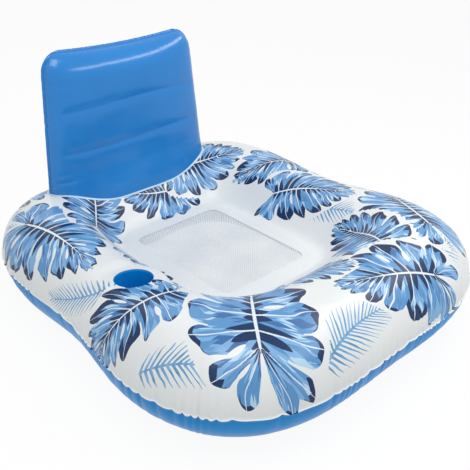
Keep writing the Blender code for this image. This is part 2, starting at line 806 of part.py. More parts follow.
def make_flap(prefix, stem, flange_bottom, parts, cutters):
    """Make the check flap under the stem, whose origin lies on its hinge."""
    pivot = stem_bottom(flange_bottom) - CLEARANCE - FLAP_THICKNESS / 2
    flap = turned(
        prefix + "_valve_flap",
        [
            (0.0, FLAP_THICKNESS / 2),
            (FLAP_RADIUS, FLAP_THICKNESS / 2),
            (FLAP_RADIUS, -FLAP_THICKNESS / 2),
            (0.0, -FLAP_THICKNESS / 2),
        ],
        VALVE_STEP_COUNT, parts, VALVE_CLEAR, closed=False,
    )
    move_turned(flap, -FLAP_PIVOT)
    hang(flap, stem, (0.0, FLAP_PIVOT, pivot))
    inner = -FLAP_PIVOT / 2
    outer = FLAP_THICKNESS
    tab = bar(
        prefix + "_valve_flap_tab", cutters,
        (FLAP_TAB_WIDTH, outer - inner, FLAP_THICKNESS * EAR_THINNED_SHARE),
        (0.0, (outer + inner) / 2, 0.0),
    )
    join_to(flap, tab)


def move_turned(item, distance):
    """Turn a piece round an axis that lies away from its origin along Y."""
    axis = bpy.data.objects.new(item.name + "_axis", None)
    item.users_collection[0].objects.link(axis)
    hang(axis, item, (0.0, distance, 0.0))
    item.modifiers["turn"].object = axis
    for vert in item.data.vertices:
        vert.co.y += distance


def main():
    """Build the chair."""
    clear_scene()
    parts = make_collection("inflatable_pool_chair")
    cutters = make_collection("cutters")
    make_ring(parts, cutters)
    make_seat(parts)
    make_backrest(parts, cutters)
    make_cup(parts)
    make_valve("ring", RING_VALVE_FRAME, parts, cutters)
    make_valve("backrest", BACKREST_FRAME @ BACKREST_VALVE_FRAME, parts, cutters)


if __name__ == "__main__":
    main()
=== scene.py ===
"""Inflatable pool chair: fine films, leaf print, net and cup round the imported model.

Metres, +Z up. The sitter faces -Y, and the cup well lies at the right hand, on the -X side.
"""

import logging
import math
from collections.abc import Callable, Iterable, Sequence
from dataclasses import dataclass
from enum import Enum

import bmesh
import bpy
import numpy as np
from mathutils import Matrix, Vector, noise
from mathutils.bvhtree import BVHTree


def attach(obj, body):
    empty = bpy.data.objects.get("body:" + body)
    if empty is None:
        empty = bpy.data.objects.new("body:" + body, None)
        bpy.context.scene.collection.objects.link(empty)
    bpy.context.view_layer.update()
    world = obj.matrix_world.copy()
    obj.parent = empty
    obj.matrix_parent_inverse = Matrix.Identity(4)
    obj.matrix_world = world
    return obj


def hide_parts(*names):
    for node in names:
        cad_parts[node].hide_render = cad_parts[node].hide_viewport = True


LOG = logging.getLogger("pool_chair")
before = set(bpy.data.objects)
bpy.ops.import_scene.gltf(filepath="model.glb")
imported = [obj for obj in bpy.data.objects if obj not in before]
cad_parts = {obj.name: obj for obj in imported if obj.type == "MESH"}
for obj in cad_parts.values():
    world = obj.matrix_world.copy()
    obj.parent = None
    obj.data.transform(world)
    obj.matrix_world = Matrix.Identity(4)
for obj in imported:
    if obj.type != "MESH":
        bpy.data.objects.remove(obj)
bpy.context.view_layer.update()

FILM = 0.0004
CLEARANCE = 0.0003
NET_THICKNESS = 0.0008
TOUCH = 1e-5
HALVINGS = 16
LEAF_MAP = "leaf"
LEAF_STRIDE = 64.0
FROND_NUMBER = 40
OFF_LEAF = (-1.0, 9.0)

Colour = tuple[float, float, float]
Rows = np.ndarray
Shape = bmesh.types.BMesh
Mesh = bpy.types.Mesh
Socket = bpy.types.NodeSocket


# Meshes and fields


def fade(value: Rows, start: float, end: float) -> Rows:
    """Rise smoothly from 0 at start to 1 at end."""
    share = np.clip((value - start) / (end - start), 0.0, 1.0)
    return share * share * (3 - 2 * share)


def scatter(index: Rows, seed: float) -> Rows:
    """Give each whole number its own steady value between 0 and 1."""
    wave = np.sin(index * 12.9898 + seed * 78.233) * 43758.5453
    return wave - np.floor(wave)


def hump(off: Rows, width: float | Rows) -> Rows:
    """Stand 1 high where off is 0 and fall softly on both sides."""
    return np.exp(-((off / width) ** 2))


def swell_of(points: Rows, size: float, seed: float) -> Rows:
    """Read soft noise at points.

    Args:
        points: Places, one row each.
        size: Size of the noise's lumps in metres.
        seed: Shift that tells one field from another.

    Returns:
        One value from about -1 to 1 for each point.
    """
    shift = Vector((seed, seed * 1.7, seed * 0.3))
    return np.array([noise.noise(Vector(point) / size + shift) for point in points])


def unit(vectors: Rows) -> Rows:
    """Scale vectors to length one."""
    return vectors / np.maximum(np.linalg.norm(vectors, axis=-1, keepdims=True), 1e-9)


def sample(grid: Rows, column: Rows, row: Rows) -> Rows:
    """Read a grid between its nodes; its columns run round and close on themselves.

    Args:
        grid: Values, first by column and then by row.
        column: Places along the first axis.
        row: Places along the second axis.

    Returns:
        The values at those places.
    """
    columns, rows = grid.shape[:2]
    low = np.floor(column + 1e-4).astype(int)
    left = np.clip(column - low, 0.0, 1.0)[:, None]
    below = np.clip(np.floor(row + 1e-4).astype(int), 0, rows - 2)
    up = np.clip(row - below, 0.0, 1.0)[:, None]
    first, second = low % columns, (low + 1) % columns
    return (
        (grid[first, below] * (1 - left) + grid[second, below] * left) * (1 - up)
        + (grid[first, below + 1] * (1 - left) + grid[second, below + 1] * left) * up
    )


def coordinates(mesh: Mesh) -> Rows:
    """Read a mesh's vertices.

    Args:
        mesh: The mesh.

    Returns:
        The vertices' places, one row each.
    """
    values = np.empty(len(mesh.vertices) * 3, np.float32)
    mesh.vertices.foreach_get("co", values)
    return values.reshape(-1, 3).astype(float)


def move_to(mesh: Mesh, places: Rows) -> None:
    """Write a mesh's vertices."""
    mesh.vertices.foreach_set("co", places.astype(np.float32).ravel())
    mesh.update()


def mesh_of(shape: Shape) -> Mesh:
    """Turn a bmesh into a smoothly shaded mesh and free it.

    Args:
        shape: The bmesh.

    Returns:
        The mesh.
    """
    mesh = bpy.data.meshes.new("piece")
    shape.to_mesh(mesh)
    shape.free()
    mesh.shade_smooth()
    return mesh


def centres_of(shape: Shape) -> Rows:
    """Read the middles of a shape's faces as rows."""
    return np.array([tuple(face.calc_center_median()) for face in shape.faces])


def tree_of(mesh: Mesh) -> BVHTree:
    """Make a tree of a mesh's faces, to find its surface."""
    faces = [tuple(face.vertices) for face in mesh.polygons]
    return BVHTree.FromPolygons(coordinates(mesh).tolist(), faces)


def add_piece(
    name: str,
    mesh: Mesh,
    material: bpy.types.Material,
    slot: str,
    *nodes: str,
) -> bpy.types.Object:
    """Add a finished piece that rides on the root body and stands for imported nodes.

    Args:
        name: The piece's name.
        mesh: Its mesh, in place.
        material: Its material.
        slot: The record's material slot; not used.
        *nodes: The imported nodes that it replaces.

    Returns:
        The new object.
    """
    piece = bpy.data.objects.new(name, mesh)
    bpy.context.scene.collection.objects.link(piece)
    mesh.name = name
    mesh.materials.append(material)
    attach(piece, "root")
    if nodes:
        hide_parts(*nodes)
    LOG.info("%s: %d vertices", name, len(mesh.vertices))
    return piece


# Node wiring and finishes


class Wires:
    """Short calls that wire the nodes of a material or a world together."""

    def __init__(self, owner: bpy.types.Material | bpy.types.World) -> None:
        """Start with no nodes.

        Args:
            owner: The material or the world.
        """
        owner.use_nodes = True
        owner.node_tree.nodes.clear()
        self.owner = owner
        self.tree = owner.node_tree

    def node(
        self, kind: str, inputs: dict[int | str, object] | None = None, **settings: object
    ) -> Sequence[Socket]:
        """Add a node and feed it with sockets or constants.

        Args:
            kind: The node's kind.
            inputs: What each input gets, by its index or name.
            **settings: The node's settings.

        Returns:
            The node's outputs.
        """
        item = self.tree.nodes.new("ShaderNode" + kind)
        for key, value in settings.items():
            setattr(item, key, value)
        for key, value in (inputs or {}).items():
            socket = item.inputs[key]
            if isinstance(value, Socket):
                self.tree.links.new(value, socket)
            else:
                socket.default_value = (*value, 1.0) if socket.type == "RGBA" else value
        return item.outputs

    def math(self, operation: str, *values: object, clamp: bool = False) -> Socket:
        """Work out one value from others."""
        return self.node("Math", dict(enumerate(values)), operation=operation, use_clamp=clamp)[0]

    def both(self, first: object, second: object) -> Socket:
        """Multiply two masks."""
        return self.math("MULTIPLY", first, second)

    def without(self, mask: object) -> Socket:
        """Turn a mask round."""
        return self.math("SUBTRACT", 1.0, mask, clamp=True)

    def line(self, value: object, slope: float, start: object) -> Socket:
        """Multiply a value and add to it."""
        return self.math("MULTIPLY_ADD", value, slope, start)

    def apart(self, first: object, second: object) -> Socket:
        """Measure how far apart two values are."""
        return self.math("ABSOLUTE", self.math("SUBTRACT", first, second))

    def below(self, value: object, limit: object) -> Socket:
        """Mask where a value is less than a limit."""
        return self.math("LESS_THAN", value, limit)

    def above(self, value: object, limit: object) -> Socket:
        """Mask where a value is more than a limit."""
        return self.math("GREATER_THAN", value, limit)

    def ramp(self, value: object, low: float, high: float) -> Socket:
        """Rise from 0 at low to 1 at high; low may be the larger one."""
        return self.node("MapRange", {0: value, 1: low, 2: high}, clamp=True)[0]

    def combine(self, *values: object) -> Socket:
        """Make a vector of three values."""
        return self.node("CombineXYZ", dict(enumerate(values)))[0]

    def mix(self, mask: object, under: object, over: object) -> Socket:
        """Lay one colour over another where a mask is 1."""
        inputs = {0: mask, 6: under, 7: over}
        return self.node("Mix", inputs, data_type="RGBA", clamp_factor=True)[2]

    def cloud(self, vector: object, scale: float, detail: float) -> Socket:
        """Draw soft noise."""
        return self.node("TexNoise", {"Vector": vector, "Scale": scale, "Detail": detail})["Fac"]

    def bump(self, height: object, distance: float, strength: float, **under: object) -> Socket:
        """Turn a height into a normal, over the one named Normal if it is given."""
        inputs = {"Strength": strength, "Distance": distance, "Height": height, **under}
        return self.node("Bump", inputs)["Normal"]

    def end(self, shader: Socket, kind: str = "OutputMaterial") -> bpy.types.ID:
        """Send a shader to the output and return the material or the world."""
        self.node(kind, {0: shader})
        return self.owner

    def shade(self, **inputs: object) -> bpy.types.Material:
        """End the material in a Principled shader with the given inputs."""
        named = {key.replace("_", " "): value for key, value in inputs.items()}
        return self.end(self.node("BsdfPrincipled", named)[0])


@dataclass(frozen=True)
class VinylFinish:
    """Glossy blown-up film, softly dented, in one colour with painted shade in the hollows of its dents.
    """

    name: str
    colour: Colour
    # painted shade: the darker colour laid in the hollows of the dents
    dent_shade: Colour
    roughness: float
    coat: float
    gloss: float = 0.5
    dent_scale: float = 5.0
    dent_bump: float = 0.35
    grain_scale: float = 60.0
    grain_bump: float = 0.30
    coat_roughness: float = 0.12

    def material(self) -> bpy.types.Material:
        """Build the film's material.

        Returns:
            The material.
        """
        wires = Wires(bpy.data.materials.new(self.name))
        place = wires.node("TexCoord")["Object"]
        broad = wires.cloud(place, self.dent_scale, 2.0)
        fine = wires.cloud(place, self.grain_scale, 3.0)
        # painted shade: the colour darkens where the dent noise is low, in the hollows of the dents that
        # the same noise bumps below
        tint = wires.mix(wires.ramp(broad, 0.3, 0.7), self.dent_shade, self.colour)
        rough = wires.line(fine, 0.10, self.roughness - 0.05)
        soft = wires.bump(broad, 0.004, self.dent_bump)
        normal = wires.bump(fine, 0.0006, self.grain_bump, Normal=soft)
        return wires.shade(
            Base_Color=self.paint(wires, tint), Roughness=rough, Normal=normal,
            Coat_Weight=self.coat, Coat_Roughness=self.coat_roughness,
            Specular_IOR_Level=self.gloss,
        )

    def paint(self, wires: Wires, ground: Socket) -> Socket:
        """Leave the film plain."""
        return ground


@dataclass(frozen=True)
class Chart:
    """Where each point of the print lies on its leaf.

    Attributes:
        wires: The material's wiring.
        rib: Place across the ribs, whole between two lobes.
        reach: Distance out along a rib, 1 at the leaf's edge.
        side: Side of the midrib, -1 or 1.
        number: The leaf's number.
    """

    wires: Wires
    rib: Socket
    reach: Socket
    side: Socket
    number: Socket

    def chances(self, place: Socket, shift: float) -> Sequence[Socket]:
        """Draw three steady random values for each whole place on each side of each leaf.

        Args:
            place: Place across the ribs, in steps of any size.
            shift: Number that tells one draw from another.

        Returns:
            The three values.
        """
        wires = self.wires
        seed = wires.math("ADD", self.number, shift)
        vector = wires.combine(wires.math("FLOOR", place), self.side, seed)
        drawn = wires.node("TexWhiteNoise", {"Vector": vector}, noise_dimensions="3D")["Color"]
        return wires.node("SeparateColor", {0: drawn})

    def feathers(self, count: float, shift: float) -> tuple[Socket, Sequence[Socket]]:
        """Part each lobe into pointed brush strokes that run out along the ribs.

        Args:
            count: Strokes in a lobe.
            shift: Number that tells one set of strokes from another.

        Returns:
            The height of a stroke's point, 1 in its middle, and three random values for it.
        """
        wires = self.wires
        place = wires.both(self.rib, count)
        ridge = wires.line(wires.math("FRACT", place), 2.0, -1.0)
        point = wires.math("SUBTRACT", 1.0, wires.math("ABSOLUTE", ridge))
        return point, self.chances(place, shift)


@dataclass(frozen=True)
class PrintFinish(VinylFinish):
    """Pearly white film printed with blue leaves and pale fronds."""

    name: str = "printed_film"
    colour: Colour = (0.780, 0.800, 0.800)
    # painted shade for the hollows of the white film's dents
    dent_shade: Colour = (0.725, 0.750, 0.755)
    roughness: float = 0.29
    coat: float = 0.06
    gloss: float = 0.28
    dent_scale: float = 4.0
    dent_bump: float = 0.30
    grain_scale: float = 70.0
    grain_bump: float = 0.25
    navy: Colour = (0.002, 0.024, 0.092)
    royal: Colour = (0.045, 0.150, 0.370)
    middle: Colour = (0.100, 0.280, 0.550)
    light: Colour = (0.200, 0.410, 0.680)
    pale: Colour = (0.440, 0.640, 0.800)
    frond: Colour = (0.115, 0.285, 0.460)
    vein: Colour = (0.70, 0.78, 0.84)
    lobe_tip: float = 0.64
    vein_lean: float = 0.14
    hole_length: float = 0.17
    hole_width: float = 0.11
    leaf_edge: float = 1.2

    def paint(self, wires: Wires, ground: Socket) -> Socket:
        """Draw the leaves from the leaf map, which counts ribs one way and reach the other.

        Args:
            wires: The material's wiring.
            ground: Colour of the bare film, with painted shade in the hollows of its dents.

        Returns:
            The printed colour.
        """
        flat = wires.node("UVMap", uv_map=LEAF_MAP)[0]
        counted, out = wires.node("SeparateXYZ", {0: flat})[:2]
        number = wires.math("FLOOR", wires.line(counted, 1 / LEAF_STRIDE, 0.5))
        rib = wires.line(number, -LEAF_STRIDE, counted)
        side = wires.math("SIGN", out)
        reach = wires.math("ABSOLUTE", out)
        sway = wires.cloud(wires.combine(rib, reach, number), 1.1, 1.0)
        sway = wires.both(wires.math("SUBTRACT", sway, 0.5), wires.ramp(reach, 0.0, 0.7))
        rib = wires.math("ADD", rib, wires.both(sway, 0.9))
        ripple = wires.cloud(wires.combine(rib, number, side), 2.3, 1.0)
        reach = wires.both(reach, wires.line(ripple, 0.16, 0.92))
        chart = Chart(wires, rib, reach, side, number)
        is_frond = wires.above(number, FROND_NUMBER - 0.5)
        inputs = {0: is_frond, 2: self.blade_mask(chart), 3: self.frond_mask(chart)}
        ink = wires.node("Mix", inputs, data_type="FLOAT")[0]
        mask = wires.both(wires.both(ink, wires.above(rib, 0.0)), wires.below(reach, self.leaf_edge))
        tone = wires.cloud(wires.combine(rib, wires.both(reach, 2.0), number), 1.0, 2.0)
        tinted = wires.mix(wires.ramp(tone, 0.40, 0.60), self.frond, self.light)
        return wires.mix(mask, ground, wires.mix(is_frond, self.blade_colour(chart), tinted))

    def frond_mask(self, chart: Chart) -> Socket:
        """Cut a frond into slim leaflets on a midrib.

        Args:
            chart: Places on the leaf.

        Returns:
            A mask that is 1 on the leaflets.
        """
        wires, reach = chart.wires, chart.reach
        off = wires.apart(wires.math("FRACT", chart.rib), 0.5)
        taper = wires.math("POWER", wires.without(reach), 0.7)
        leaflet = wires.below(off, wires.line(taper, 0.27, 0.015))
        leaflet = wires.both(leaflet, wires.below(reach, 1.0))
        return wires.math("MAXIMUM", leaflet, wires.below(reach, 0.05))

    def blade_mask(self, chart: Chart) -> Socket:
        """Cut a leaf's blade into pointed lobes by slits and holes.

        Args:
            chart: Places on the leaf.

        Returns:
            A mask that is 1 on the blade.
        """
        wires, reach = chart.wires, chart.reach
        lean = wires.math("SUBTRACT", wires.math("FRACT", chart.rib), self.lobe_tip)
        ahead, behind = wires.both(lean, 1 / (1 - self.lobe_tip)), wires.both(lean, -1 / self.lobe_tip)
        skew = wires.math("POWER", wires.math("MAXIMUM", ahead, behind), 1.6)
        blade = wires.below(reach, wires.line(skew, -0.24, 1.0))
        boundary = wires.math("FLOOR", wires.math("ADD", chart.rib, 0.5))
        gap = wires.apart(chart.rib, boundary)
        chance = chart.chances(boundary, 0.0)
        past = wires.math("SUBTRACT", reach, wires.line(chance[0], 0.60, 0.36))
        slit = wires.both(wires.above(past, 0.0), wires.below(gap, wires.line(past, 0.17, 0.030)))
        middle = wires.line(chance[1], 0.20, 0.32)
        along = wires.math("DIVIDE", wires.math("SUBTRACT", reach, middle), self.hole_length)
        beside = wires.math("DIVIDE", gap, self.hole_width)
        oval = wires.math("ADD", wires.both(along, along), wires.both(beside, beside))
        hole = wires.both(wires.below(oval, 1.0), wires.above(chance[2], 0.60))
        return wires.both(wires.both(blade, wires.without(slit)), wires.without(hole))

    def blade_colour(self, chart: Chart) -> Socket:
        """Paint a blade in brushed blues with dark feathers at its ribs and tips and pale veins.

        Args:
            chart: Places on the leaf.

        Returns:
            The blade's colour.
        """
        wires, rib, reach = chart.wires, chart.rib, chart.reach
        off = wires.apart(wires.math("FRACT", rib), wires.line(reach, self.vein_lean, 0.5))
        lobe = chart.chances(rib, 0.5)
        tone = wires.cloud(wires.combine(wires.both(rib, 1.6), reach, chart.number), 1.2, 2.0)
        colour = wires.mix(wires.ramp(tone, 0.46, 0.54), self.middle, self.light)
        point, first = chart.feathers(4.0, 0.0)
        second = chart.feathers(4.0, 0.25)[1]
        for chance, size, over in (
            (first[0], 0.36, self.light), (first[1], 0.26, self.pale),
            (second[0], 0.24, self.royal), (second[1], 0.34, self.middle),
        ):
            stroke = wires.below(wires.apart(reach, chance), wires.both(point, size))
            colour = wires.mix(stroke, colour, over)
        point, chance = chart.feathers(2.0, 0.7)
        root = wires.both(wires.line(chance[0], 0.45, 0.20), wires.line(point, 0.80, 0.20))
        near_vein = wires.line(wires.ramp(off, 0.55, 0.05), 0.75, 0.25)
        root = wires.both(wires.both(root, near_vein), wires.line(lobe[0], 0.9, 0.7))
        colour = wires.mix(wires.below(reach, root), colour, self.navy)
        point, chance = chart.feathers(3.0, 0.9)
        tip = wires.line(wires.math("POWER", lobe[1], 1.6), 0.44, 0.05)
        tip = wires.both(wires.both(tip, wires.line(point, 0.55, 0.45)), wires.line(chance[1], 0.8, 0.6))
        colour = wires.mix(wires.above(reach, wires.math("SUBTRACT", 0.98, tip)), colour, self.navy)
        colour = wires.mix(wires.below(off, wires.line(reach, -0.040, 0.046)), colour, self.vein)
        return wires.mix(wires.below(reach, 0.026), colour, self.vein)


@dataclass(frozen=True)
class NetFinish:
    """White woven net."""

    name: str = "net_cloth"
    white: Colour = (0.80, 0.82, 0.83)
    grey: Colour = (0.71, 0.74, 0.77)
    thread_scale: float = 900.0
    tone_scale: float = 9.0

    def material(self) -> bpy.types.Material:
        """Build the net's material.

        Returns:
            The material.
        """
        wires = Wires(bpy.data.materials.new(self.name))
        place = wires.node("TexCoord")["Object"]
        thread = wires.cloud(place, self.thread_scale, 1.0)
        broad = wires.cloud(place, self.tone_scale, 1.0)
        colour = wires.mix(wires.ramp(broad, 0.35, 0.65), self.grey, self.white)
        return wires.shade(
            Base_Color=colour, Roughness=0.6, Normal=wires.bump(thread, 0.0003, 0.5),
            Sheen_Weight=0.2,
        )


@dataclass(frozen=True)
class ValveFinish:
    """Soft milky plastic of the valves."""

    name: str = "valve_plastic"
    colour: Colour = (0.66, 0.74, 0.83)
    pale: Colour = (0.72, 0.79, 0.87)
    cloud_scale: float = 220.0

    def material(self) -> bpy.types.Material:
        """Build the valves' material.

        Returns:
            The material.
        """
        wires = Wires(bpy.data.materials.new(self.name))
        cloud = wires.cloud(wires.node("TexCoord")["Object"], self.cloud_scale, 2.0)
        tint = wires.mix(wires.ramp(cloud, 0.3, 0.7), self.colour, self.pale)
        return wires.shade(
            Base_Color=tint, Roughness=wires.line(cloud, 0.1, 0.25),
            Normal=wires.bump(cloud, 0.0002, 0.2), Transmission_Weight=0.25, IOR=1.45,
        )


# The leaf print


@dataclass(frozen=True)
class Habit:
    """How the ribs of a kind of leaf spread from its midrib.

    Attributes:
        fan: Share of the leaf behind its root, over which the ribs fan out.
        back: Angle of the rearmost rib.
        fore: Angle of the foremost rib.
        curl: How far the ribs bend forward.
        spans: Lengths of the rearmost, middle and foremost ribs.
    """

    fan: float
    back: float
    fore: float
    curl: float
    spans: tuple[float, float, float]


class Kind(Enum):
    """Kinds of printed leaf."""

    SPLIT = Habit(0.24, math.radians(172), math.radians(14), 0.25, (0.80, 1.18, 0.40))
    OVAL = Habit(0.12, math.radians(140), math.radians(14), 0.40, (0.60, 1.28, 0.26))
    FROND = Habit(0.0, math.radians(70), math.radians(22), 0.20, (0.45, 1.30, 0.35))


@dataclass(frozen=True)
class Leaf:
    """One printed leaf, placed on the flat sheet before it is blown up.

    Attributes:
        kind: What the leaf's ribs do.
        angle: Angle round the seat, in degrees.
        reach: Distance of its middle from the inner weld.
        heading: Turn of its midrib from the way outward, in degrees.
        length: Length of its midrib.
        breadth: Half breadth as a share of the length.
        bend: How far the midrib bends.
        ribs: Count of ribs on a side.
    """

    kind: Kind
    angle: float
    reach: float
    heading: float
    length: float
    breadth: float
    bend: float
    ribs: int

    def field(self, places: Rows, centre: Rows, outward: Rows) -> Rows:
        """Work out each place's rib and how far out along it the place lies.

        Args:
            places: Places on the flat sheet.
            centre: The leaf's middle.
            outward: Direction on the sheet away from the seat.

        Returns:
            Two values a place: the rib's count, and the share of its length, signed by side.
        """
        turn = math.radians(self.heading)
        along = np.array([
            outward[0] * math.cos(turn) - outward[1] * math.sin(turn),
            outward[0] * math.sin(turn) + outward[1] * math.cos(turn),
        ])
        aside = np.array([-along[1], along[0]])
        local = (places - centre) / self.length
        forward, across = local @ along + 0.5, local @ aside
        across = across - self.bend * forward * (1.2 - forward)
        side = np.where(across < 0, -1.0, 1.0)
        across = np.abs(across)
        habit = self.kind.value
        forward = forward - habit.curl * across ** 2
        low = np.full(len(places), -habit.fan)
        high = np.ones(len(places))
        for _ in range(HALVINGS):
            middle = (low + high) / 2
            angle = self.rib_angle(middle)
            ahead = (forward - np.maximum(middle, 0)) * np.sin(angle) - across * np.cos(angle) > 0
            low = np.where(ahead, middle, low)
            high = np.where(ahead, high, middle)
        root = (low + high) / 2
        share = (root + habit.fan) / (1 + habit.fan)
        first, second, third = habit.spans
        span = self.breadth * (
            first * (1 - share) ** 2 + 2 * second * share * (1 - share) + third * share ** 2
        )
        out = np.hypot(forward - np.maximum(root, 0), across) / span
        behind = np.arctan2(across, forward) - habit.back
        rib = np.where(behind > 0, -behind * 4, share * self.ribs)
        return np.stack([rib, side * out], -1)

    def rib_angle(self, root: Rows) -> Rows:
        """Work out the angle between the midrib and a rib.

        Args:
            root: Where the rib starts along the midrib.

        Returns:
            The angle.
        """
        habit = self.kind.value
        share = np.clip((root + habit.fan) / (1 + habit.fan), 0, 1)
        return habit.fore + (habit.back - habit.fore) * (1 - share) ** 1.45


LEAVES = (
    Leaf(Kind.SPLIT, -126, 0.222, 168, 0.270, 0.60, 0.15, 8),
    Leaf(Kind.OVAL, -160, 0.315, -35, 0.235, 0.52, -0.25, 9),
    Leaf(Kind.OVAL, -97, 0.125, 60, 0.205, 0.52, 0.25, 9),
    Leaf(Kind.SPLIT, -78, 0.300, -125, 0.220, 0.58, -0.15, 8),
    Leaf(Kind.OVAL, -55, 0.140, 130, 0.235, 0.52, -0.25, 9),
    Leaf(Kind.SPLIT, -33, 0.300, 100, 0.240, 0.58, 0.15, 8),
    Leaf(Kind.OVAL, -6, 0.135, -55, 0.225, 0.52, 0.25, 9),
    Leaf(Kind.SPLIT, 22, 0.225, 145, 0.220, 0.58, 0.15, 8),
    Leaf(Kind.OVAL, 52, 0.130, -70, 0.225, 0.52, 0.20, 9),
    Leaf(Kind.SPLIT, 88, 0.090, 80, 0.180, 0.58, 0.15, 8),
    Leaf(Kind.OVAL, 126, 0.140, -60, 0.230, 0.52, -0.20, 9),
    Leaf(Kind.SPLIT, 156, 0.250, 110, 0.240, 0.58, 0.15, 8),
    Leaf(Kind.OVAL, -176, 0.080, 75, 0.165, 0.52, 0.25, 9),
    Leaf(Kind.SPLIT, 112, 0.340, -95, 0.220, 0.58, 0.15, 8),
    Leaf(Kind.OVAL, 66, 0.362, 85, 0.180, 0.52, 0.20, 9),
)

FRONDS = (
    Leaf(Kind.FROND, -104, 0.370, 110, 0.250, 0.36, 0.25, 20),
    Leaf(Kind.FROND, -147, 0.110, 60, 0.160, 0.34, -0.25, 16),
    Leaf(Kind.FROND, -58, 0.370, 70, 0.230, 0.34, 0.25, 18),
    Leaf(Kind.FROND, -26, 0.110, -50, 0.190, 0.34, 0.25, 16),
    Leaf(Kind.FROND, -6, 0.310, 75, 0.220, 0.34, 0.25, 18),
    Leaf(Kind.FROND, 40, 0.340, 60, 0.210, 0.34, -0.25, 18),
    Leaf(Kind.FROND, 138, 0.350, 70, 0.210, 0.34, 0.25, 18),
    Leaf(Kind.FROND, 178, 0.290, -70, 0.210, 0.34, 0.25, 18),
    Leaf(Kind.FROND, -144, 0.410, 80, 0.220, 0.34, 0.25, 18),
)


# The ring


@dataclass(frozen=True)
class Dish:
    """How a fitting presses the film flat.

    Attributes:
        sink: How far the fitting's frame lies under the film.
        hole: Radius of the hole.
        flat: Radius of the flat part.
        slope: Width over which the flat part fades out.
    """

    sink: float
    hole: float
    flat: float
    slope: float


CUP_DISH = Dish(0.006, 0.045, 0.058, 0.034)
VALVE_DISH = Dish(0.001, 0.0095, 0.025, 0.014)


@dataclass(frozen=True)
class Pressed:
    """A place where the film lies flat round a cup or a valve."""

    origin: Rows
    axes: Rows
    dish: Dish

    @classmethod
    def on(
        cls,
        surface: Callable[[float, float], Rows],
        place: tuple[float, float],
        outward: tuple[float, float, float],
        dish: Dish,
    ) -> "Pressed":
        """Frame a place of a surface, with Y up the slope and Z outward.

        Args:
            surface: Gives the surface's point for two values.
            place: The two values of the fitting's place.
            outward: Rough direction away from the air.
            dish: How the fitting presses the film.

        Returns:
            The pressed place.
        """
        first, second = place
        step = math.radians(0.5)
        along = surface(first + step, second) - surface(first - step, second)
        across = surface(first, second + step) - surface(first, second - step)
        normal = unit(np.cross(along, across))
        if normal @ np.array(outward, float) < 0:
            normal = -normal
        uphill = unit(np.array([0.0, 0.0, 1.0]) - normal * normal[2])
        axes = np.stack([np.cross(uphill, normal), uphill, normal], -1)
        return cls(surface(first, second) - normal * dish.sink, axes, dish)

    def local(self, places: Rows) -> Rows:
        """Turn places into the fitting's own frame, with Z along its axis."""
        return (places - self.origin) @ self.axes

    def within(self, places: Rows, radius: float) -> Rows:
        """Tell which places of the film lie inside a radius.

        Args:
            places: The places.
            radius: Distance from the fitting's axis.

        Returns:
            The rows of those places.
        """
        local = self.local(places)
        near = np.abs(local[:, 2]) < self.dish.flat
        return np.nonzero(near & (np.hypot(local[:, 0], local[:, 1]) < radius))[0]

    def press(self, places: Rows) -> Rows:
        """Press the film flat, fading out over the dish's slope.

        Args:
            places: Places of the film.

        Returns:
            The pressed places.
        """
        local = self.local(places)
        distance = np.hypot(local[:, 0], local[:, 1])
        flat, edge = self.dish.flat, self.dish.flat + self.dish.slope
        near = (distance <= edge) & (np.abs(local[:, 2]) <= flat)
        local[:, 2] *= np.where(near, fade(distance, flat, edge), 1.0)
        return np.where(near[:, None], local @ self.axes.T + self.origin, places)

    def punch(self, mesh: Mesh) -> None:
        """Cut the hole into a film and draw its edge round.

        Args:
            mesh: The film's mesh.
        """
        shape = bmesh.new()
        shape.from_mesh(mesh)
        within = self.within(centres_of(shape), self.dish.hole)
        shape.faces.ensure_lookup_table()
        inside = [shape.faces[index] for index in within]
        rim = {vert for face in inside for vert in face.verts}
        bmesh.ops.delete(shape, geom=inside, context="FACES")
        for vert in rim:
            if not vert.is_valid:
                continue
            local = self.local(np.array(vert.co)[None])[0]
            local[:2] *= self.dish.hole / max(math.hypot(local[0], local[1]), TOUCH)
            vert.co = self.axes @ local + self.origin
        shape.to_mesh(mesh)
        shape.free()


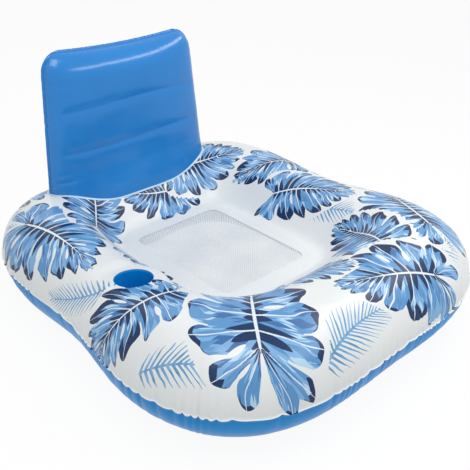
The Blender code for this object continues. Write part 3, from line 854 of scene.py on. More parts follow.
@dataclass(frozen=True)
class Ring:
    """The blown-up ring: its outline, its tube, its gathers and the flat band round the seat."""

    waist_width: float = 0.950
    waist_depth: float = 1.044
    corner_swell: float = 0.10
    rear_swell: float = 0.0185
    front_flare: float = 0.0226
    outline_forward: float = 0.0025
    seam_flange: float = 0.004
    seam_height: float = 0.130
    crown: float = 0.1105
    corner_rise: float = 0.110
    front_rise: float = 0.055
    crown_skew: float = 0.05
    under_skew: float = 0.03
    inner_ease: float = 2.4
    foot_edge: float = math.radians(78)
    seat_width: float = 0.284
    seat_depth: float = 0.364
    seat_setback: float = 0.044
    seat_band: float = 0.050
    seat_hem: float = 0.024
    opening_power: float = 16
    weld_power: float = 5
    segments: int = 1080
    hem_rows: int = 3
    band_rows: int = 6
    tube_rows: int = 66
    under_rows: int = 44
    flange_rows: int = 3
    gathers: int = 108
    gather_depth: float = 0.0032
    gather_pillow: float = 0.0014
    seam_lift: float = 0.0012
    seam_hang: float = 0.0032
    puckers: int = 64
    pucker_depth: float = 0.0016
    pucker_station: float = 2.02
    dent_size: float = 0.16
    dent_depth: float = 0.0016
    ripple_size: float = 0.055
    ripple_depth: float = 0.0005
    cup_place: tuple[float, float] = (math.radians(-169.5), math.radians(94.7))
    valve_place: tuple[float, float] = (math.radians(50), math.radians(36))
    hole_margin: float = 0.012
    print_reach: float = 1.1
    print_edge: float = 1.04
    print_tail: float = -0.05

    def seat_line(self, angle: Rows, grow: float, power: float) -> Rows:
        """Find points of a rounded rectangle round the seat.

        Args:
            angle: Angles round it.
            grow: How far it lies outside the opening.
            power: How square its corners are.

        Returns:
            The points, seen from above.
        """
        cosine, sine = np.cos(angle), np.sin(angle)
        reach = (np.abs(cosine) ** power + np.abs(sine) ** power) ** (-1 / power)
        x = (self.seat_width / 2 + grow) * reach * cosine
        y = self.seat_setback + (self.seat_depth / 2 + grow) * reach * sine
        return np.stack([x, y], -1)

    def outer_seam(self, angle: Rows, grow: float = 0.0) -> Rows:
        """Find points of the outer seam.

        Args:
            angle: Angles round the ring.
            grow: How far they lie outside the seam.

        Returns:
            The points, seen from above.
        """
        swell = 1 - self.corner_swell * np.cos(4 * angle) - self.rear_swell * np.sin(5 * angle)
        swell = swell / (1 - self.corner_swell)
        sway = swell * np.sin(angle)
        flare = 1 - self.front_flare * sway
        x = (self.waist_width / 2 * swell * flare + grow) * np.cos(angle)
        y = self.waist_depth / 2 * sway + grow * np.sin(angle) - self.outline_forward
        return np.stack([x, y], -1)

    def rise(self, angle: Rows) -> Rows:
        """Rise of the tube above its seam."""
        corner, front = self.corner_rise * np.cos(4 * angle), self.front_rise * np.sin(angle)
        return self.crown * (1 - corner - front)

    def place(self, angle: Rows, station: Rows, lower: bool) -> Rows:
        """Find points of a film's outer face.

        Args:
            angle: Angles round the ring.
            station: 0 to 1 over the hem, to 2 over the band, to 3 over the tube, to 4 the flange.
            lower: Whether the film is the one underneath.

        Returns:
            The points, in metres.
        """
        face = CLEARANCE / 2 + FILM
        hem_face = NET_THICKNESS / 2 + CLEARANCE + FILM
        opening = self.seat_line(angle, 0.0, self.opening_power)
        hem = self.seat_line(angle, self.seat_hem + CLEARANCE, self.opening_power)
        weld = self.seat_line(angle, self.seat_band, self.weld_power)
        seam = self.outer_seam(angle)
        arc = np.pi * (1 - np.clip(station - 2, 0, 1))
        over_hem = np.clip(station, 0, 1)[..., None]
        over_band = np.clip(station - 1, 0, 1)[..., None]
        bulge = np.maximum(0.0, np.sin(arc))
        skew = self.under_skew if lower else self.crown_skew
        over_tube = ((1 + np.cos(arc)) / 2 + skew * bulge ** 2)[..., None]
        ease = 1 + self.inner_ease * np.maximum(0.0, -np.cos(arc))
        flat = opening + (hem - opening) * over_hem + (weld - hem) * over_band
        flat = flat + (seam - weld) * over_tube
        out = np.clip(station - 3, 0, 1)
        flat = flat + (self.outer_seam(angle, self.seam_flange) - seam) * out[..., None]
        lift = hem_face + (face - hem_face) * over_band[..., 0]
        lift = lift * (1 - 0.8 * out)
        if lower:
            drop = np.minimum(1.0, bulge / math.sin(self.foot_edge)) ** ease
            height = (self.seam_height - lift) * (1 - drop)
        else:
            height = self.seam_height + lift + self.rise(angle) * bulge ** ease
        return np.concatenate([flat, height[..., None]], -1)

    def rows(self, lower: bool) -> list[int]:
        """Rows of faces over the hem, the band, the tube and the flange."""
        tube = self.under_rows if lower else self.tube_rows
        return [self.hem_rows, self.band_rows, tube, self.flange_rows]

    def grid(self, lower: bool) -> tuple[Rows, Rows]:
        """Find points of a film by angle and row, smooth and then gathered.

        Args:
            lower: Whether the film is the one underneath.

        Returns:
            The gathered points, and the places on the flat sheet that they come from.
        """
        marks = np.cumsum([0, *self.rows(lower)])
        station = np.interp(np.arange(marks[-1] + 1), marks, np.arange(5))
        turn = np.arange(self.segments) * 2 * np.pi / self.segments
        angle = np.repeat(turn[:, None], len(station), 1)
        stations = np.repeat(station[None], self.segments, 0)
        smooth = self.place(angle, stations, lower)
        steps = np.linalg.norm(np.diff(smooth, axis=1), axis=2)
        length = np.concatenate([np.zeros((self.segments, 1)), np.cumsum(steps, 1)], 1)
        inner = smooth[:, :1, :2]
        heading = unit(smooth[:, -1:, :2] - inner)
        sheet = inner + heading * length[..., None]
        along = np.roll(smooth, -1, 0) - np.roll(smooth, 1, 0)
        across = np.gradient(smooth, axis=1)
        normal = unit(np.cross(across, along)) * (-1.0 if lower else 1.0)
        level = np.concatenate([heading, np.zeros((self.segments, 1, 1))], -1)
        share = fade(stations, 2.78, 2.97)[..., None]
        direction = unit(normal * (1 - share) + level * share)
        moved = smooth + direction * self.gather(angle, stations, smooth, lower)[..., None]
        moved[..., 2] += self.seam_wave(angle, stations)
        if lower:
            moved[..., 2] = np.maximum(moved[..., 2], 0.0)
        return moved, sheet

    def crease_phase(self, angle: Rows) -> Rows:
        """Count of gathers up to an angle, unevenly spaced."""
        drift = 1.3 * np.sin(5 * angle + 1) + 0.9 * np.sin(11 * angle + 2) + 0.5 * np.sin(23 * angle)
        return angle / (2 * np.pi) * self.gathers + drift

    def seam_wave(self, angle: Rows, station: Rows) -> Rows:
        """Let the outer seam rise and fall, the same for both films.

        Args:
            angle: Angles round the ring.
            station: Stations across the film.

        Returns:
            Heights to add.
        """
        phase = self.crease_phase(angle)
        depth = 0.6 + 0.8 * scatter(np.floor(phase), 5.0)
        hang = np.abs(np.sin(phase * np.pi)) ** 0.8 * depth
        return (self.seam_lift - self.seam_hang * hang) * fade(station, 2.80, 3.0)

    def gather(
        self, angle: Rows, station: Rows, smooth: Rows, lower: bool
    ) -> Rows:
        """Work out how far the film stands in or out of its smooth shape.

        Args:
            angle: Angles round the ring.
            station: Stations across the film.
            smooth: The smooth points.
            lower: Whether the film is the one underneath.

        Returns:
            Distances along the outward normal.
        """
        phase = self.crease_phase(angle)
        nearest = np.round(phase)
        off = phase - nearest
        depth = 0.35 + 0.65 * scatter(nearest, 1.0)
        start = 2.62 + 0.26 * scatter(nearest, 2.0)
        corner = 0.55 + 0.45 * (1 - np.cos(4 * angle)) / 2
        width = 0.10 + 0.10 * (3 - np.clip(station, 2, 3))
        fold = hump(off, width) * np.clip((station - start) / (3 - start), 0, 1) ** 1.2
        pillow = self.gather_pillow * (np.cos(off * 2 * np.pi) * -0.5 + 0.5)
        outer = (pillow * fade(station, 2.72, 3.0) - self.gather_depth * depth * fold) * corner
        phase = angle / (2 * np.pi) * self.puckers + 0.8 * np.sin(7 * angle)
        nearest = np.round(phase)
        tight = hump(phase - nearest, 0.16) * scatter(nearest, 3.0) ** 2
        inward = self.pucker_depth if lower else -self.pucker_depth
        seat = inward * tight * hump(station - self.pucker_station, 0.07)
        points = smooth.reshape(-1, 3)
        lumps = swell_of(points, self.dent_size, 3.0) * self.dent_depth
        lumps = lumps + swell_of(points, self.ripple_size, 9.0) * self.ripple_depth
        lumps = lumps.reshape(station.shape) * fade(station, 2.10, 2.3) * (1 - fade(station, 2.85, 3.0))
        return outer + seat + lumps

    def fitting(self, place: tuple[float, float], dish: Dish) -> Pressed:
        """Frame a fitting on the printed half of the tube.

        Args:
            place: Angle round the ring, and angle over the tube from its outer seam.
            dish: How the fitting presses the film.

        Returns:
            The pressed place.
        """
        def surface(angle: float, arc: float) -> Rows:
            """Find one point of the printed film."""
            return self.place(np.array([angle]), np.array([3 - arc / math.pi]), False)[0]

        return Pressed.on(surface, place, (0, 0, 1), dish)

    def film_mesh(
        self, lower: bool, fittings: Iterable[Pressed] = (), leaves: Iterable[Leaf] = ()
    ) -> Mesh:
        """Bend a grid round into an annulus, blow it up, press it at its fittings and lay the print.

        Args:
            lower: Whether the film is the one underneath.
            fittings: Places where it is pressed flat and cut.
            leaves: Printed leaves, the upper ones first.

        Returns:
            The film's mesh.
        """
        last = sum(self.rows(lower))
        moved, sheet = self.grid(lower)
        shape = bmesh.new()
        bmesh.ops.create_grid(shape, x_segments=last, y_segments=self.segments, size=1)
        ends = [vert for vert in shape.verts if abs(vert.co.y) > 0.9999]
        for vert in shape.verts:
            reach = 1 + 0.005 * last * (vert.co.x + 1)
            turn = math.pi * (vert.co.y + 1)
            vert.co = (reach * math.cos(turn), reach * math.sin(turn), 0.0)
        bmesh.ops.remove_doubles(shape, verts=ends, dist=1e-4)
        if lower:
            bmesh.ops.reverse_faces(shape, faces=shape.faces[:])

        def indices(flat: Rows) -> tuple[Rows, Rows]:
            """Turn places on the annulus into columns and rows of the grid."""
            column = np.arctan2(flat[:, 1], flat[:, 0]) / (2 * np.pi) * self.segments
            return column % self.segments, (np.hypot(flat[:, 0], flat[:, 1]) - 1) * 100

        for fitting in fittings:
            places = sample(moved, *indices(centres_of(shape)))
            close = fitting.within(places, fitting.dish.hole + self.hole_margin)
            faces = shape.faces[:]
            edges = {edge for index in close for edge in faces[index].edges}
            bmesh.ops.subdivide_edges(shape, edges=list(edges), cuts=2, use_grid_fill=True)
        mesh = mesh_of(shape)
        column, height = indices(coordinates(mesh))
        places = sample(moved, column, height)
        for fitting in fittings:
            places = fitting.press(places)
        move_to(mesh, places)
        if leaves:
            self.lay_print(mesh, sample(sheet, column, height), leaves)
        return mesh

    def lay_print(
        self, mesh: Mesh, places: Rows, leaves: Iterable[Leaf]
    ) -> None:
        """Give each face the leaf that it belongs to, as a map of ribs.

        Args:
            mesh: The printed film.
            places: Its vertices' places on the flat sheet.
            leaves: Printed leaves, the upper ones first.
        """
        corner = np.empty(len(mesh.loops), np.int32)
        mesh.loops.foreach_get("vertex_index", corner)
        totals = np.empty(len(mesh.polygons), np.int32)
        mesh.polygons.foreach_get("loop_total", totals)
        starts = np.concatenate([[0], np.cumsum(totals)[:-1]])
        chart = np.full((len(corner), 2), OFF_LEAF)
        free = np.ones(len(totals), bool)
        for index, leaf in enumerate(leaves, 1):
            number = index + (FROND_NUMBER if leaf.kind is Kind.FROND else 0)
            turn = np.array([math.radians(leaf.angle)])
            weld = self.seat_line(turn, self.seat_band, self.weld_power)[0]
            outward = unit(self.outer_seam(turn)[0] - weld)
            centre = weld + outward * leaf.reach
            near = np.linalg.norm(places - centre, axis=1) < leaf.length * self.print_reach
            field = np.full((len(places), 2), OFF_LEAF)
            field[near] = leaf.field(places[near], centre, outward)
            inside = (np.abs(field[:, 1]) < self.print_edge) & (field[:, 0] > self.print_tail)
            mine = free & np.logical_or.reduceat(inside[corner], starts)
            free &= ~mine
            rows = np.repeat(mine, totals)
            field[:, 0] += number * LEAF_STRIDE
            chart[rows] = field[corner[rows]]
        layer = mesh.uv_layers.new(name=LEAF_MAP)
        layer.data.foreach_set("uv", chart.astype(np.float32).ravel())


# The backrest


@dataclass(frozen=True)
class Backrest:
    """The upright pillow of two film panels, in its own leaning frame, on the printed film."""

    ground: BVHTree
    side: float = -0.018
    back: float = 0.408
    foot_height: float = 0.222
    lean: float = math.radians(2.5)
    height: float = 0.387
    foot_width: float = 0.524
    top_width: float = 0.456
    corner: float = 0.046
    foot_depth: float = 0.120
    thickness: float = 0.104
    crown: float = 0.072
    blend: float = 0.085
    power: float = 2.8
    flange: float = 0.005
    creases: tuple[float, float] = (0.35, 0.63)
    groove_depth: float = 0.0022
    groove_spread: float = 0.014
    line_depth: float = 0.0013
    line_spread: float = 0.0040
    side_folds: int = 14
    side_gathers: int = 13
    gather_depth: float = 0.0022
    top_gathers: int = 9
    top_gather_depth: float = 0.0007
    dent_size: float = 0.12
    dent_depth: float = 0.0012
    ripple_size: float = 0.035
    ripple_depth: float = 0.0004
    top_dip: float = 0.007
    columns: int = 170
    rows: int = 130
    valve_side: float = 0.120
    valve_height: float = 0.080
    foot_search: tuple[float, float] = (-0.07, 0.09)
    weld_width: float = 0.006
    weld_profile: tuple[tuple[float, float], ...] = (
        (-0.10, 0.0010), (0.10, 0.0024), (0.45, 0.0014), (0.8, 0.0011), (1.0, 0.0004)
    )

    def frame(self) -> Rows:
        """The leaning frame as a 4 by 4 matrix."""
        place = Matrix.Translation((self.side, self.back, self.foot_height))
        return np.array(place @ Matrix.Rotation(-self.lean, 4, "X"))

    def half_depth(self, height: Rows, across: Rows) -> Rows:
        """Work out half the pillow's thickness, with creases that end short of its sides.

        Args:
            height: Heights above the foot.
            across: Places across, from -1 to 1.

        Returns:
            Half the thickness there.
        """
        foot, middle = self.foot_depth / 2, self.thickness / 2
        depth = foot + (middle - foot) * fade(height, 0.0, self.blend)
        reach = 1 - fade(np.abs(across), 0.80, 0.98)
        for index, share in enumerate(self.creases):
            sway = 0.004 * np.sin(across * 2.6 + index)
            off = height - share * self.height - sway
            groove = self.groove_depth * hump(off, self.groove_spread)
            depth = depth - (groove + self.line_depth * hump(off, self.line_spread)) * reach
        above = np.clip((height - (self.height - self.crown)) / self.crown, 0, 1)
        return depth * np.sqrt(1 - above * above)

    def half_width(self, height: Rows) -> Rows:
        """Work out half the pillow's width, drawn in round the top corners.

        Args:
            height: Heights above the foot.

        Returns:
            Half the width there.
        """
        climb = np.clip(height / self.height, 0, 1)
        width = self.foot_width + (self.top_width - self.foot_width) * climb
        above = np.clip((height - (self.height - self.corner)) / self.corner, 0, 1)
        return width / 2 - self.corner * (1 - np.sqrt(1 - above * above))

    def point(self, arc: Rows, height: Rows, side: float) -> Rows:
        """Find points of a panel's outer face.

        Args:
            arc: Angles over the pillow, from one side seam to the other.
            height: Heights above the foot.
            side: -1 for the front panel and 1 for the rear one.

        Returns:
            The points in the world.
        """
        cosine, sine = np.cos(arc), np.maximum(0.0, np.sin(arc))
        across = np.sign(cosine) * np.abs(cosine) ** (2 / self.power)
        bulge = sine ** (2 / self.power)
        face = CLEARANCE / 2 + FILM
        dip = self.top_dip * (1 - across * across) * fade(height, self.height * 0.7, self.height)
        local = np.stack([
            across * self.half_width(height),
            side * (face + self.half_depth(height, across) * bulge),
            height - dip,
        ], -1)
        return self.to_world(local)

    def to_world(self, local: Rows) -> Rows:
        """Turn places in the leaning frame into places in the world."""
        frame = self.frame()
        return local @ frame[:3, :3].T + frame[:3, 3]

    def foot_heights(self, arcs: Rows, side: float) -> Rows:
        """Find the height at which each column of a panel meets the ring.

        Args:
            arcs: The columns' angles over the pillow.
            side: -1 for the front panel and 1 for the rear one.

        Returns:
            The heights in the leaning frame.
        """
        low, high = (np.full(len(arcs), limit) for limit in self.foot_search)
        for _ in range(HALVINGS):
            middle = (low + high) / 2
            points = self.point(arcs, middle, side)
            for index, point in enumerate(points):
                hit = self.ground.ray_cast(Vector((point[0], point[1], 1.0)), Vector((0, 0, -1)))
                level = hit[0].z if hit[0] else 0.0
                if point[2] > level + CLEARANCE:
                    high[index] = middle[index]
                else:
                    low[index] = middle[index]
        return high

    def valve_arc(self) -> float:
        """Angle over the pillow at which the valve stands."""
        return math.acos((2 * self.valve_side / self.foot_width) ** (self.power / 2))

    def valve(self) -> Pressed:
        """Frame the valve's place on the rear panel.

        Returns:
            The pressed place.
        """
        def surface(arc: float, height: float) -> Rows:
            """Find one point of the rear panel."""
            return self.point(np.array([arc]), np.array([height]), 1)[0]

        return Pressed.on(surface, (self.valve_arc(), self.valve_height), (0, 1, 0), VALVE_DISH)

    def panel_mesh(self, side: float) -> Mesh:
        """Bend a grid into a panel that stands on the ring, with its weld flange.

        Args:
            side: -1 for the front panel and 1 for the rear one.

        Returns:
            The panel's mesh.
        """
        shape = bmesh.new()
        bmesh.ops.create_grid(shape, x_segments=self.columns, y_segments=self.rows, size=1)
        if side > 0:
            bmesh.ops.reverse_faces(shape, faces=shape.faces[:])
            self.refine(shape)
        seam = [
            edge for edge in shape.edges
            if edge.is_boundary and max(vert.co.y for vert in edge.verts) > -0.999
        ]
        bmesh.ops.extrude_edge_only(shape, edges=seam)
        mesh = mesh_of(shape)
        grid = coordinates(mesh)
        arcs = np.pi * (1 - grid[:, 0]) / 2
        steps = np.pi * np.arange(self.columns + 1) / self.columns
        feet = np.interp(arcs, steps, self.foot_heights(steps, side))
        share = (grid[:, 1] + 1) / 2
        heights = feet + (self.height - feet) * share
        places = self.point(arcs, heights, side)
        lumps = swell_of(places, self.dent_size, 5.0) * self.dent_depth
        lumps = lumps + swell_of(places, self.ripple_size, 8.0) * self.ripple_depth
        soft = np.clip(np.sin(arcs), 0, 1) ** 0.5 * (1 - fade(share, 0.93, 1.0))
        soft = soft * fade(share, 0.0, 0.05)
        pinch = self.pinches(arcs, share)
        away = unit(places - self.to_world(np.array([0.0, 0.0, self.height / 2])))
        normal = self.frame()[:3, 1] * side
        lumps = lumps - self.side_creases(arcs, heights)
        places = places + normal * (lumps * soft)[:, None] + away * pinch[:, None]
        if side > 0:
            places = self.valve().press(places)
        move_to(mesh, places)
        self.spread_flange(mesh, grid)
        return mesh

    def side_creases(self, arcs: Rows, heights: Rows) -> Rows:
        """Work out the short creases that run in from the side seams.

        Args:
            arcs: Angles over the pillow.
            heights: Heights above the foot.

        Returns:
            The creases' depth.
        """
        across = np.cos(arcs)
        reach = fade(np.abs(across), 0.55, 0.95)
        depth = np.zeros(len(arcs))
        for index in range(self.side_folds):
            level = (0.06 + 0.88 * scatter(np.array(index), 7.0)) * self.height
            tilt = 0.05 * (scatter(np.array(index), 8.0) - 0.5)
            off = heights - level - tilt * np.abs(across)
            beside = (across < 0) if index % 2 == 0 else (across > 0)
            size = 0.0005 + 0.0006 * scatter(np.array(index), 9.0)
            depth += size * hump(off, 0.0045) * reach * beside
        return depth

    def pinches(self, arcs: Rows, share: Rows) -> Rows:
        """Work out the small gathers along the side seams and the top seam.

        Args:
            arcs: Angles over the pillow.
            share: Share of the height.

        Returns:
            Distances away from the pillow's middle.
        """
        edge = hump(np.sin(arcs), 0.22)
        phase = share * self.side_gathers + 0.6 * np.sin(share * 9)
        nearest = np.round(phase)
        sides = -self.gather_depth * hump(phase - nearest, 0.14) * edge * scatter(nearest, 4.0)
        phase = arcs * self.top_gathers + 0.5 * np.sin(arcs * 7)
        nearest = np.round(phase)
        fold = hump(phase - nearest, 0.15) * fade(share, 0.90, 1.0)
        return sides - self.top_gather_depth * fold * scatter(nearest, 6.0)

    def refine(self, shape: Shape) -> None:
        """Make the grid finer round the valve.

        Args:
            shape: The rear panel's flat grid.
        """
        column = 1 - 2 * self.valve_arc() / math.pi
        near = [
            face for face in shape.faces
            if abs(face.calc_center_median().x - column) < 0.12
            and abs(face.calc_center_median().y + 0.52) < 0.22
        ]
        edges = {edge for face in near for edge in face.edges}
        bmesh.ops.subdivide_edges(shape, edges=list(edges), cuts=1, use_grid_fill=True)

    def spread_flange(self, mesh: Mesh, grid: Rows) -> None:
        """Push the outermost loop of vertices out into the weld flange.

        Args:
            mesh: The panel's mesh, in place.
            grid: Its vertices' places on the flat grid.
        """
        shape = bmesh.new()
        shape.from_mesh(mesh)
        shape.verts.ensure_lookup_table()
        frame = self.frame()
        centre = self.height - self.corner
        core = float(self.half_width(np.array([centre]))[0]) - self.corner
        for vert in shape.verts:
            if not vert.is_boundary or grid[vert.index][1] < -0.999:
                continue
            local = (np.array(vert.co) - frame[:3, 3]) @ frame[:3, :3]
            away = np.array([
                local[0] - min(core, max(-core, local[0])), 0.0, local[2] - min(centre, local[2])
            ])
            local = local + unit(away) * self.flange
            local[1] *= 0.2
            vert.co = frame[:3, :3] @ local + frame[:3, 3]
        shape.to_mesh(mesh)
        shape.free()

    def weld_mesh(self) -> Mesh:
        """Lay the strip that welds the pillow's foot to the ring.

        Returns:
            The strip's mesh.
        """
        steps = np.pi * np.arange(self.columns + 1) / self.columns
        loops = []
        for side in (-1.0, 1.0):
            line = self.point(steps, self.foot_heights(steps, side), side)
            loops.append(line if side < 0 else line[::-1][1:-1])
        line = np.concatenate(loops)
        tangent = unit(np.roll(line, -1, 0) - np.roll(line, 1, 0))
        shape = bmesh.new()
        previous = None
        for reach, lift in self.weld_profile:
            verts = []
            for point, along in zip(line, tangent):
                aside = Vector((-along[1], along[0], 0.0)).normalized()
                target = Vector(point) + aside * (self.weld_width * reach)
                near, normal, _, _ = self.ground.find_nearest(target)
                verts.append(shape.verts.new(near + normal * lift))
            edges = [shape.edges.new(pair) for pair in zip(verts, verts[1:] + verts[:1])]
            if previous:
                bmesh.ops.bridge_loops(shape, edges=previous + edges)
            previous = edges
        bmesh.ops.recalc_face_normals(shape, faces=shape.faces[:])
        return mesh_of(shape)


# The seat net and the cup


@dataclass(frozen=True)
class SeatNet:
    """The woven net, with a whole hem that lies between the ring's films."""

    width: float
    depth: float
    setback: float
    height: float
    hem: float = 0.022
    overlap: float = 0.002
    pitch: float = 0.0050
    cord: float = 0.0036
    sag: float = 0.004

    def mesh(self) -> Mesh:
        """Weave a lattice on the slant, trim it to the opening and add the hem.

        Returns:
            The net's mesh.
        """
        shape = bmesh.new()
        reach = math.hypot(self.width, self.depth)
        count = round(reach / self.pitch)
        bmesh.ops.create_grid(shape, x_segments=count, y_segments=count, size=reach / 2)
        slant = Matrix.Rotation(math.radians(45), 3, "Z")
        bmesh.ops.rotate(shape, verts=shape.verts[:], cent=(0, 0, 0), matrix=slant)
        half = (self.width / 2 + self.overlap, self.depth / 2 + self.overlap)
        for axis, sign in ((0, 1), (0, -1), (1, 1), (1, -1)):
            normal = Vector((0, 0, 0))
            normal[axis] = sign
            bmesh.ops.bisect_plane(
                shape, geom=shape.verts[:] + shape.edges[:] + shape.faces[:],
                plane_co=normal * half[axis], plane_no=normal, clear_outer=True,
            )
        whole = (self.pitch * 0.98) ** 2
        holes = [face for face in shape.faces if face.calc_area() > whole * 0.5]
        bmesh.ops.inset_individual(shape, faces=holes, thickness=self.cord / 2)
        bmesh.ops.delete(shape, geom=holes, context="FACES")
        rim = [edge for edge in shape.edges if edge.is_boundary and self.on_rim(edge.verts, half)]
        spread = bmesh.ops.extrude_edge_only(shape, edges=rim)["geom"]
        for vert in [item for item in spread if isinstance(item, bmesh.types.BMVert)]:
            for axis in (0, 1):
                if self.on_side((vert,), half, axis):
                    vert.co[axis] += math.copysign(self.hem - self.overlap, vert.co[axis])
        for vert in shape.verts:
            across, along = vert.co.x / half[0], vert.co.y / half[1]
            dip = max(0.0, 1 - across * across) * max(0.0, 1 - along * along)
            vert.co.z = self.height - self.sag * dip
            vert.co.y += self.setback
        bmesh.ops.solidify(shape, geom=shape.faces[:], thickness=NET_THICKNESS)
        bmesh.ops.recalc_face_normals(shape, faces=shape.faces[:])
        return mesh_of(shape)

    @staticmethod
    def on_side(verts: Iterable[bmesh.types.BMVert], half: tuple[float, float], axis: int) -> bool:
        """Tell whether vertices lie on the trimmed sides across one axis."""
        return all(abs(abs(vert.co[axis]) - half[axis]) < TOUCH for vert in verts)

    def on_rim(self, verts: Iterable[bmesh.types.BMVert], half: tuple[float, float]) -> bool:
        """Tell whether vertices lie together on one trimmed side."""
        return self.on_side(verts, half, 0) or self.on_side(verts, half, 1)


@dataclass(frozen=True)
class Cup:
    """The cup's sleeve and floor, at its seat under the hole in the printed film."""

    seat: Pressed
    foot_radius: float = 0.040
    depth: float = 0.135
    flange: float = 0.007
    floor_flange: float = 0.005
    lip: float = 0.001
    turn_in: float = 0.0005
    rows: int = 24
    steps: int = 96
    folds: int = 9
    fold_depth: float = 0.0006
    floor_dish: tuple[tuple[float, float], ...] = (
        (1.0, 0.0), (0.6, 0.0010), (0.25, 0.0016), (0.0, 0.0018)
    )

    def turned(self, profile: Sequence[tuple[float, float]]) -> Mesh:
        """Turn a profile round the cup's axis.

        Args:
            profile: Radius and height of each point, from the outside in.

        Returns:
            The turned mesh, in place.
        """
        shape = bmesh.new()
        row = [shape.verts.new((radius, 0, height)) for radius, height in profile]
        edges = [shape.edges.new(pair) for pair in zip(row, row[1:])]
        bmesh.ops.spin(
            shape, geom=row + edges, axis=(0, 0, 1), cent=(0, 0, 0),
            angle=2 * math.pi, steps=self.steps, use_merge=True,
        )
        bmesh.ops.remove_doubles(shape, verts=shape.verts[:], dist=1e-6)
        for vert in shape.verts:
            share = min(1.0, max(0.0, -vert.co.z / self.depth))
            turn = math.atan2(vert.co.y, vert.co.x)
            fold = math.sin(turn * self.folds + 3 * share) * self.fold_depth * math.sin(math.pi * share)
            vert.co.x += fold * math.cos(turn)
            vert.co.y += fold * math.sin(turn)
        shape.normal_update()
        mesh = mesh_of(shape)
        move_to(mesh, coordinates(mesh) @ self.seat.axes.T + self.seat.origin)
        return mesh

    def wall(self) -> Mesh:
        """Make the sleeve, flanged under the film and at its foot.

        Returns:
            The sleeve's mesh.
        """
        under = -FILM - CLEARANCE
        top, length = under - self.turn_in, self.depth - 3 * self.turn_in
        mouth = self.seat.dish.hole
        profile = [(mouth + self.flange, under), (mouth + self.lip, under)]
        for index in range(self.rows + 1):
            share = index / self.rows
            radius = mouth + (self.foot_radius - mouth) * share
            profile.append((radius - FILM, top - length * share))
        profile.append((self.foot_radius + self.floor_flange, -self.depth))
        return self.turned(profile)

    def floor(self) -> Mesh:
        """Make the floor, slightly dished.

        Returns:
            The floor's mesh.
        """
        low = -self.depth - CLEARANCE
        profile = [(self.foot_radius + self.floor_flange, low)]
        profile += [(self.foot_radius * share, low - drop) for share, drop in self.floor_dish]
        return self.turned(profile)


# Camera, light and floor


@dataclass(frozen=True)
class Lamp:
    """A soft rectangular lamp."""

    name: str
    place: tuple[float, float, float]
    size: tuple[float, float]
    power: float

    def add(self, target: Vector) -> None:
        """Add the lamp, turned towards a target.

        Args:
            target: The place that it looks at.
        """
        data = bpy.data.lights.new(self.name, "AREA")
        data.shape = "RECTANGLE"
        data.size, data.size_y = self.size
        data.energy = self.power
        lamp = bpy.data.objects.new(self.name, data)
        bpy.context.scene.collection.objects.link(lamp)
        lamp.location = self.place
        lamp.rotation_mode = "QUATERNION"
        lamp.rotation_quaternion = (target - Vector(self.place)).to_track_quat("-Z", "Y")


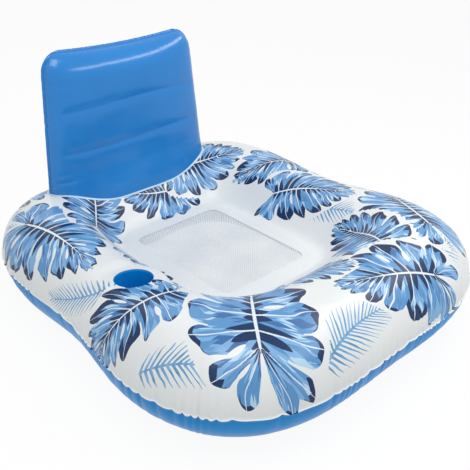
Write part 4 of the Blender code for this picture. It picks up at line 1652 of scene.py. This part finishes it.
@dataclass(frozen=True)
class Studio:
    """A pale studio with the camera where the photograph was taken."""

    azimuth: float = math.radians(-43.652)
    elevation: float = math.radians(30.506)
    roll: float = math.radians(0.81)
    distance: float = 1.8349
    target: tuple[float, float, float] = (0.0203, 0.0030, 0.1249)
    lens: float = 52.78
    shift_x: float = -0.0008
    shift_y: float = 0.0373
    lamps: tuple[Lamp, ...] = (
        Lamp("key", (-0.7, -0.8, 2.9), (1.5, 1.5), 36.0),
        Lamp("fill", (-2.1, -0.2, 1.5), (2.0, 2.0), 4.0),
        Lamp("back", (0.4, 2.2, 2.2), (1.6, 1.6), 8.0),
        Lamp("strip", (0.95, -0.65, 1.45), (2.1, 0.20), 10.0),
    )
    floor_size: float = 6.0
    floor_colour: Colour = (0.95, 0.95, 0.95)
    floor_seen: float = 0.93
    sky: Colour = (0.99, 1.0, 1.0)
    sky_light: float = 0.45

    def build(self) -> None:
        """Add the camera, the floor, the world and the lamps."""
        self.add_camera()
        self.add_floor()
        self.add_world()
        for lamp in self.lamps:
            lamp.add(Vector(self.target))
        bpy.context.scene.view_settings.view_transform = "Standard"

    def add_camera(self) -> None:
        """Add the camera at the photograph's viewing angle."""
        level = math.cos(self.elevation)
        back = Vector((
            math.sin(self.azimuth) * level, -math.cos(self.azimuth) * level, math.sin(self.elevation)
        ))
        right = Vector((math.cos(self.azimuth), math.sin(self.azimuth), 0.0))
        up = back.cross(right)
        turned = right * math.cos(self.roll) + up * math.sin(self.roll)
        raised = up * math.cos(self.roll) - right * math.sin(self.roll)
        data = bpy.data.cameras.new("camera")
        data.sensor_width = 36.0
        data.lens = self.lens
        data.shift_x = self.shift_x
        data.shift_y = self.shift_y
        camera = bpy.data.objects.new("camera", data)
        bpy.context.scene.collection.objects.link(camera)
        place = Matrix.Translation(Vector(self.target) + back * self.distance)
        camera.matrix_world = place @ Matrix((turned, raised, back)).transposed().to_4x4()
        bpy.context.scene.camera = camera

    @staticmethod
    def seen(wires: Wires) -> Socket:
        """Mask the rays that show the background: straight, mirrored or sent through.

        Args:
            wires: The wiring of a material or a world.

        Returns:
            The mask.
        """
        ray = wires.node("LightPath")
        mirrored = wires.math("MAXIMUM", ray["Is Glossy Ray"], ray["Is Transmission Ray"])
        return wires.math("MAXIMUM", ray["Is Camera Ray"], mirrored)

    def add_floor(self) -> None:
        """Add a wide pale floor that keeps the chair's shadow."""
        shape = bmesh.new()
        bmesh.ops.create_grid(shape, x_segments=1, y_segments=1, size=self.floor_size)
        floor = bpy.data.objects.new("floor", mesh_of(shape))
        bpy.context.scene.collection.objects.link(floor)
        floor.location.z = -0.0005
        wires = Wires(bpy.data.materials.new("floor_white"))
        paper = wires.node("BsdfDiffuse", {"Color": self.floor_colour})[0]
        glow = wires.node("Emission", {"Strength": 1.0})[0]
        mask = wires.both(self.seen(wires), self.floor_seen)
        floor.data.materials.append(wires.end(wires.node("MixShader", {0: mask, 1: paper, 2: glow})[0]))

    def add_world(self) -> None:
        """Light the scene softly from all round, with a white background."""
        wires = Wires(bpy.data.worlds.new("studio"))
        soft = wires.node("Background", {"Color": self.sky, "Strength": self.sky_light})[0]
        white = wires.node("Background", {"Color": (1.0, 1.0, 1.0), "Strength": 1.0})[0]
        blend = wires.node("MixShader", {0: self.seen(wires), 1: soft, 2: white})[0]
        bpy.context.scene.world = wires.end(blend, "OutputWorld")


# The chair


class PoolChair:
    """The dressed chair."""

    def __init__(self) -> None:
        """Settle the forms and the finishes."""
        self.ring = Ring()
        self.cup_seat = self.ring.fitting(self.ring.cup_place, CUP_DISH)
        self.ring_valve = self.ring.fitting(self.ring.valve_place, VALVE_DISH)
        self.printed = PrintFinish().material()
        self.ring_blue, self.backrest_blue, self.cup_blue, self.weld_painted_highlight = (
            VinylFinish(*film).material() for film in (
                # the second colour of each film is painted shade for the hollows of its dents
                ("ring_blue_film", (0.012, 0.270, 0.660), (0.008, 0.235, 0.600), 0.34, 0.0, 0.15),
                ("backrest_blue_film", (0.010, 0.225, 0.625), (0.007, 0.195, 0.570), 0.20, 0.25, 0.35),
                ("cup_blue_film", (0.002, 0.260, 0.700), (0.001, 0.220, 0.640), 0.35, 0.0, 0.2),
                # weld strip: a pale colour, partly the weld and partly a painted highlight along it
                ("weld_painted_highlight", (0.56, 0.74, 0.86), (0.50, 0.69, 0.83), 0.30, 0.1),
            )
        )

    def build(self) -> None:
        """Build and dress every piece."""
        self.add_ring()
        self.add_backrest()
        self.add_seat()
        self.add_cup()
        self.dress_fittings()

    def add_ring(self) -> None:
        """Add the printed film and the blue film under it."""
        fittings = (self.cup_seat, self.ring_valve)
        top = self.ring.film_mesh(False, fittings, LEAVES + FRONDS)
        self.surface = tree_of(top)
        for fitting in fittings:
            fitting.punch(top)
        under = self.ring.film_mesh(True)
        piece = add_piece("printed_film", top, self.printed, "printed_film", "ring_top_sheet")
        piece = add_piece("under_film", under, self.ring_blue, "ring_film", "ring_bottom_sheet")

    def add_backrest(self) -> None:
        """Add the pillow's panels and the weld round its foot."""
        backrest = Backrest(self.surface)
        for name, side in (("front", -1.0), ("rear", 1.0)):
            film, panel = f"backrest_{name}_film", f"backrest_{name}_panel"
            mesh = backrest.panel_mesh(side)
            if side > 0:
                backrest.valve().punch(mesh)
            add_piece(film, mesh, self.backrest_blue, "backrest_film", panel)
        # the foot weld's pale colour is partly a painted highlight along the weld line
        add_piece("backrest_foot_weld", backrest.weld_mesh(), self.weld_painted_highlight, "printed_film")

    def add_seat(self) -> None:
        """Add the net, a stretched sheet that fills the ring's opening."""
        ring = self.ring
        net = SeatNet(ring.seat_width, ring.seat_depth, ring.seat_setback, ring.seam_height)
        mesh = net.mesh()
        piece = add_piece("seat_net", mesh, NetFinish().material(), "net", "seat_mesh")

    def add_cup(self) -> None:
        """Add the cup's sleeve and its floor."""
        cup = Cup(self.cup_seat)
        add_piece("cup_sleeve", cup.wall(), self.cup_blue, "cup_film", "cup_wall")
        add_piece("cup_bottom", cup.floor(), self.cup_blue, "cup_film", "cup_floor")

    def dress_fittings(self) -> None:
        """Give the valves and the inner ties their materials."""
        valve = ValveFinish().material()
        for name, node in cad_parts.items():
            if "_valve_" in name or name.endswith("_tie"):
                node.data.materials.clear()
                node.data.materials.append(valve if "_valve_" in name else self.backrest_blue)
                LOG.info("%s dressed", name)


def main() -> None:
    """Build the chair and the studio."""
    logging.basicConfig(level=logging.INFO, format="%(message)s")
    PoolChair().build()
    Studio().build()


if __name__ == "__main__":
    main()
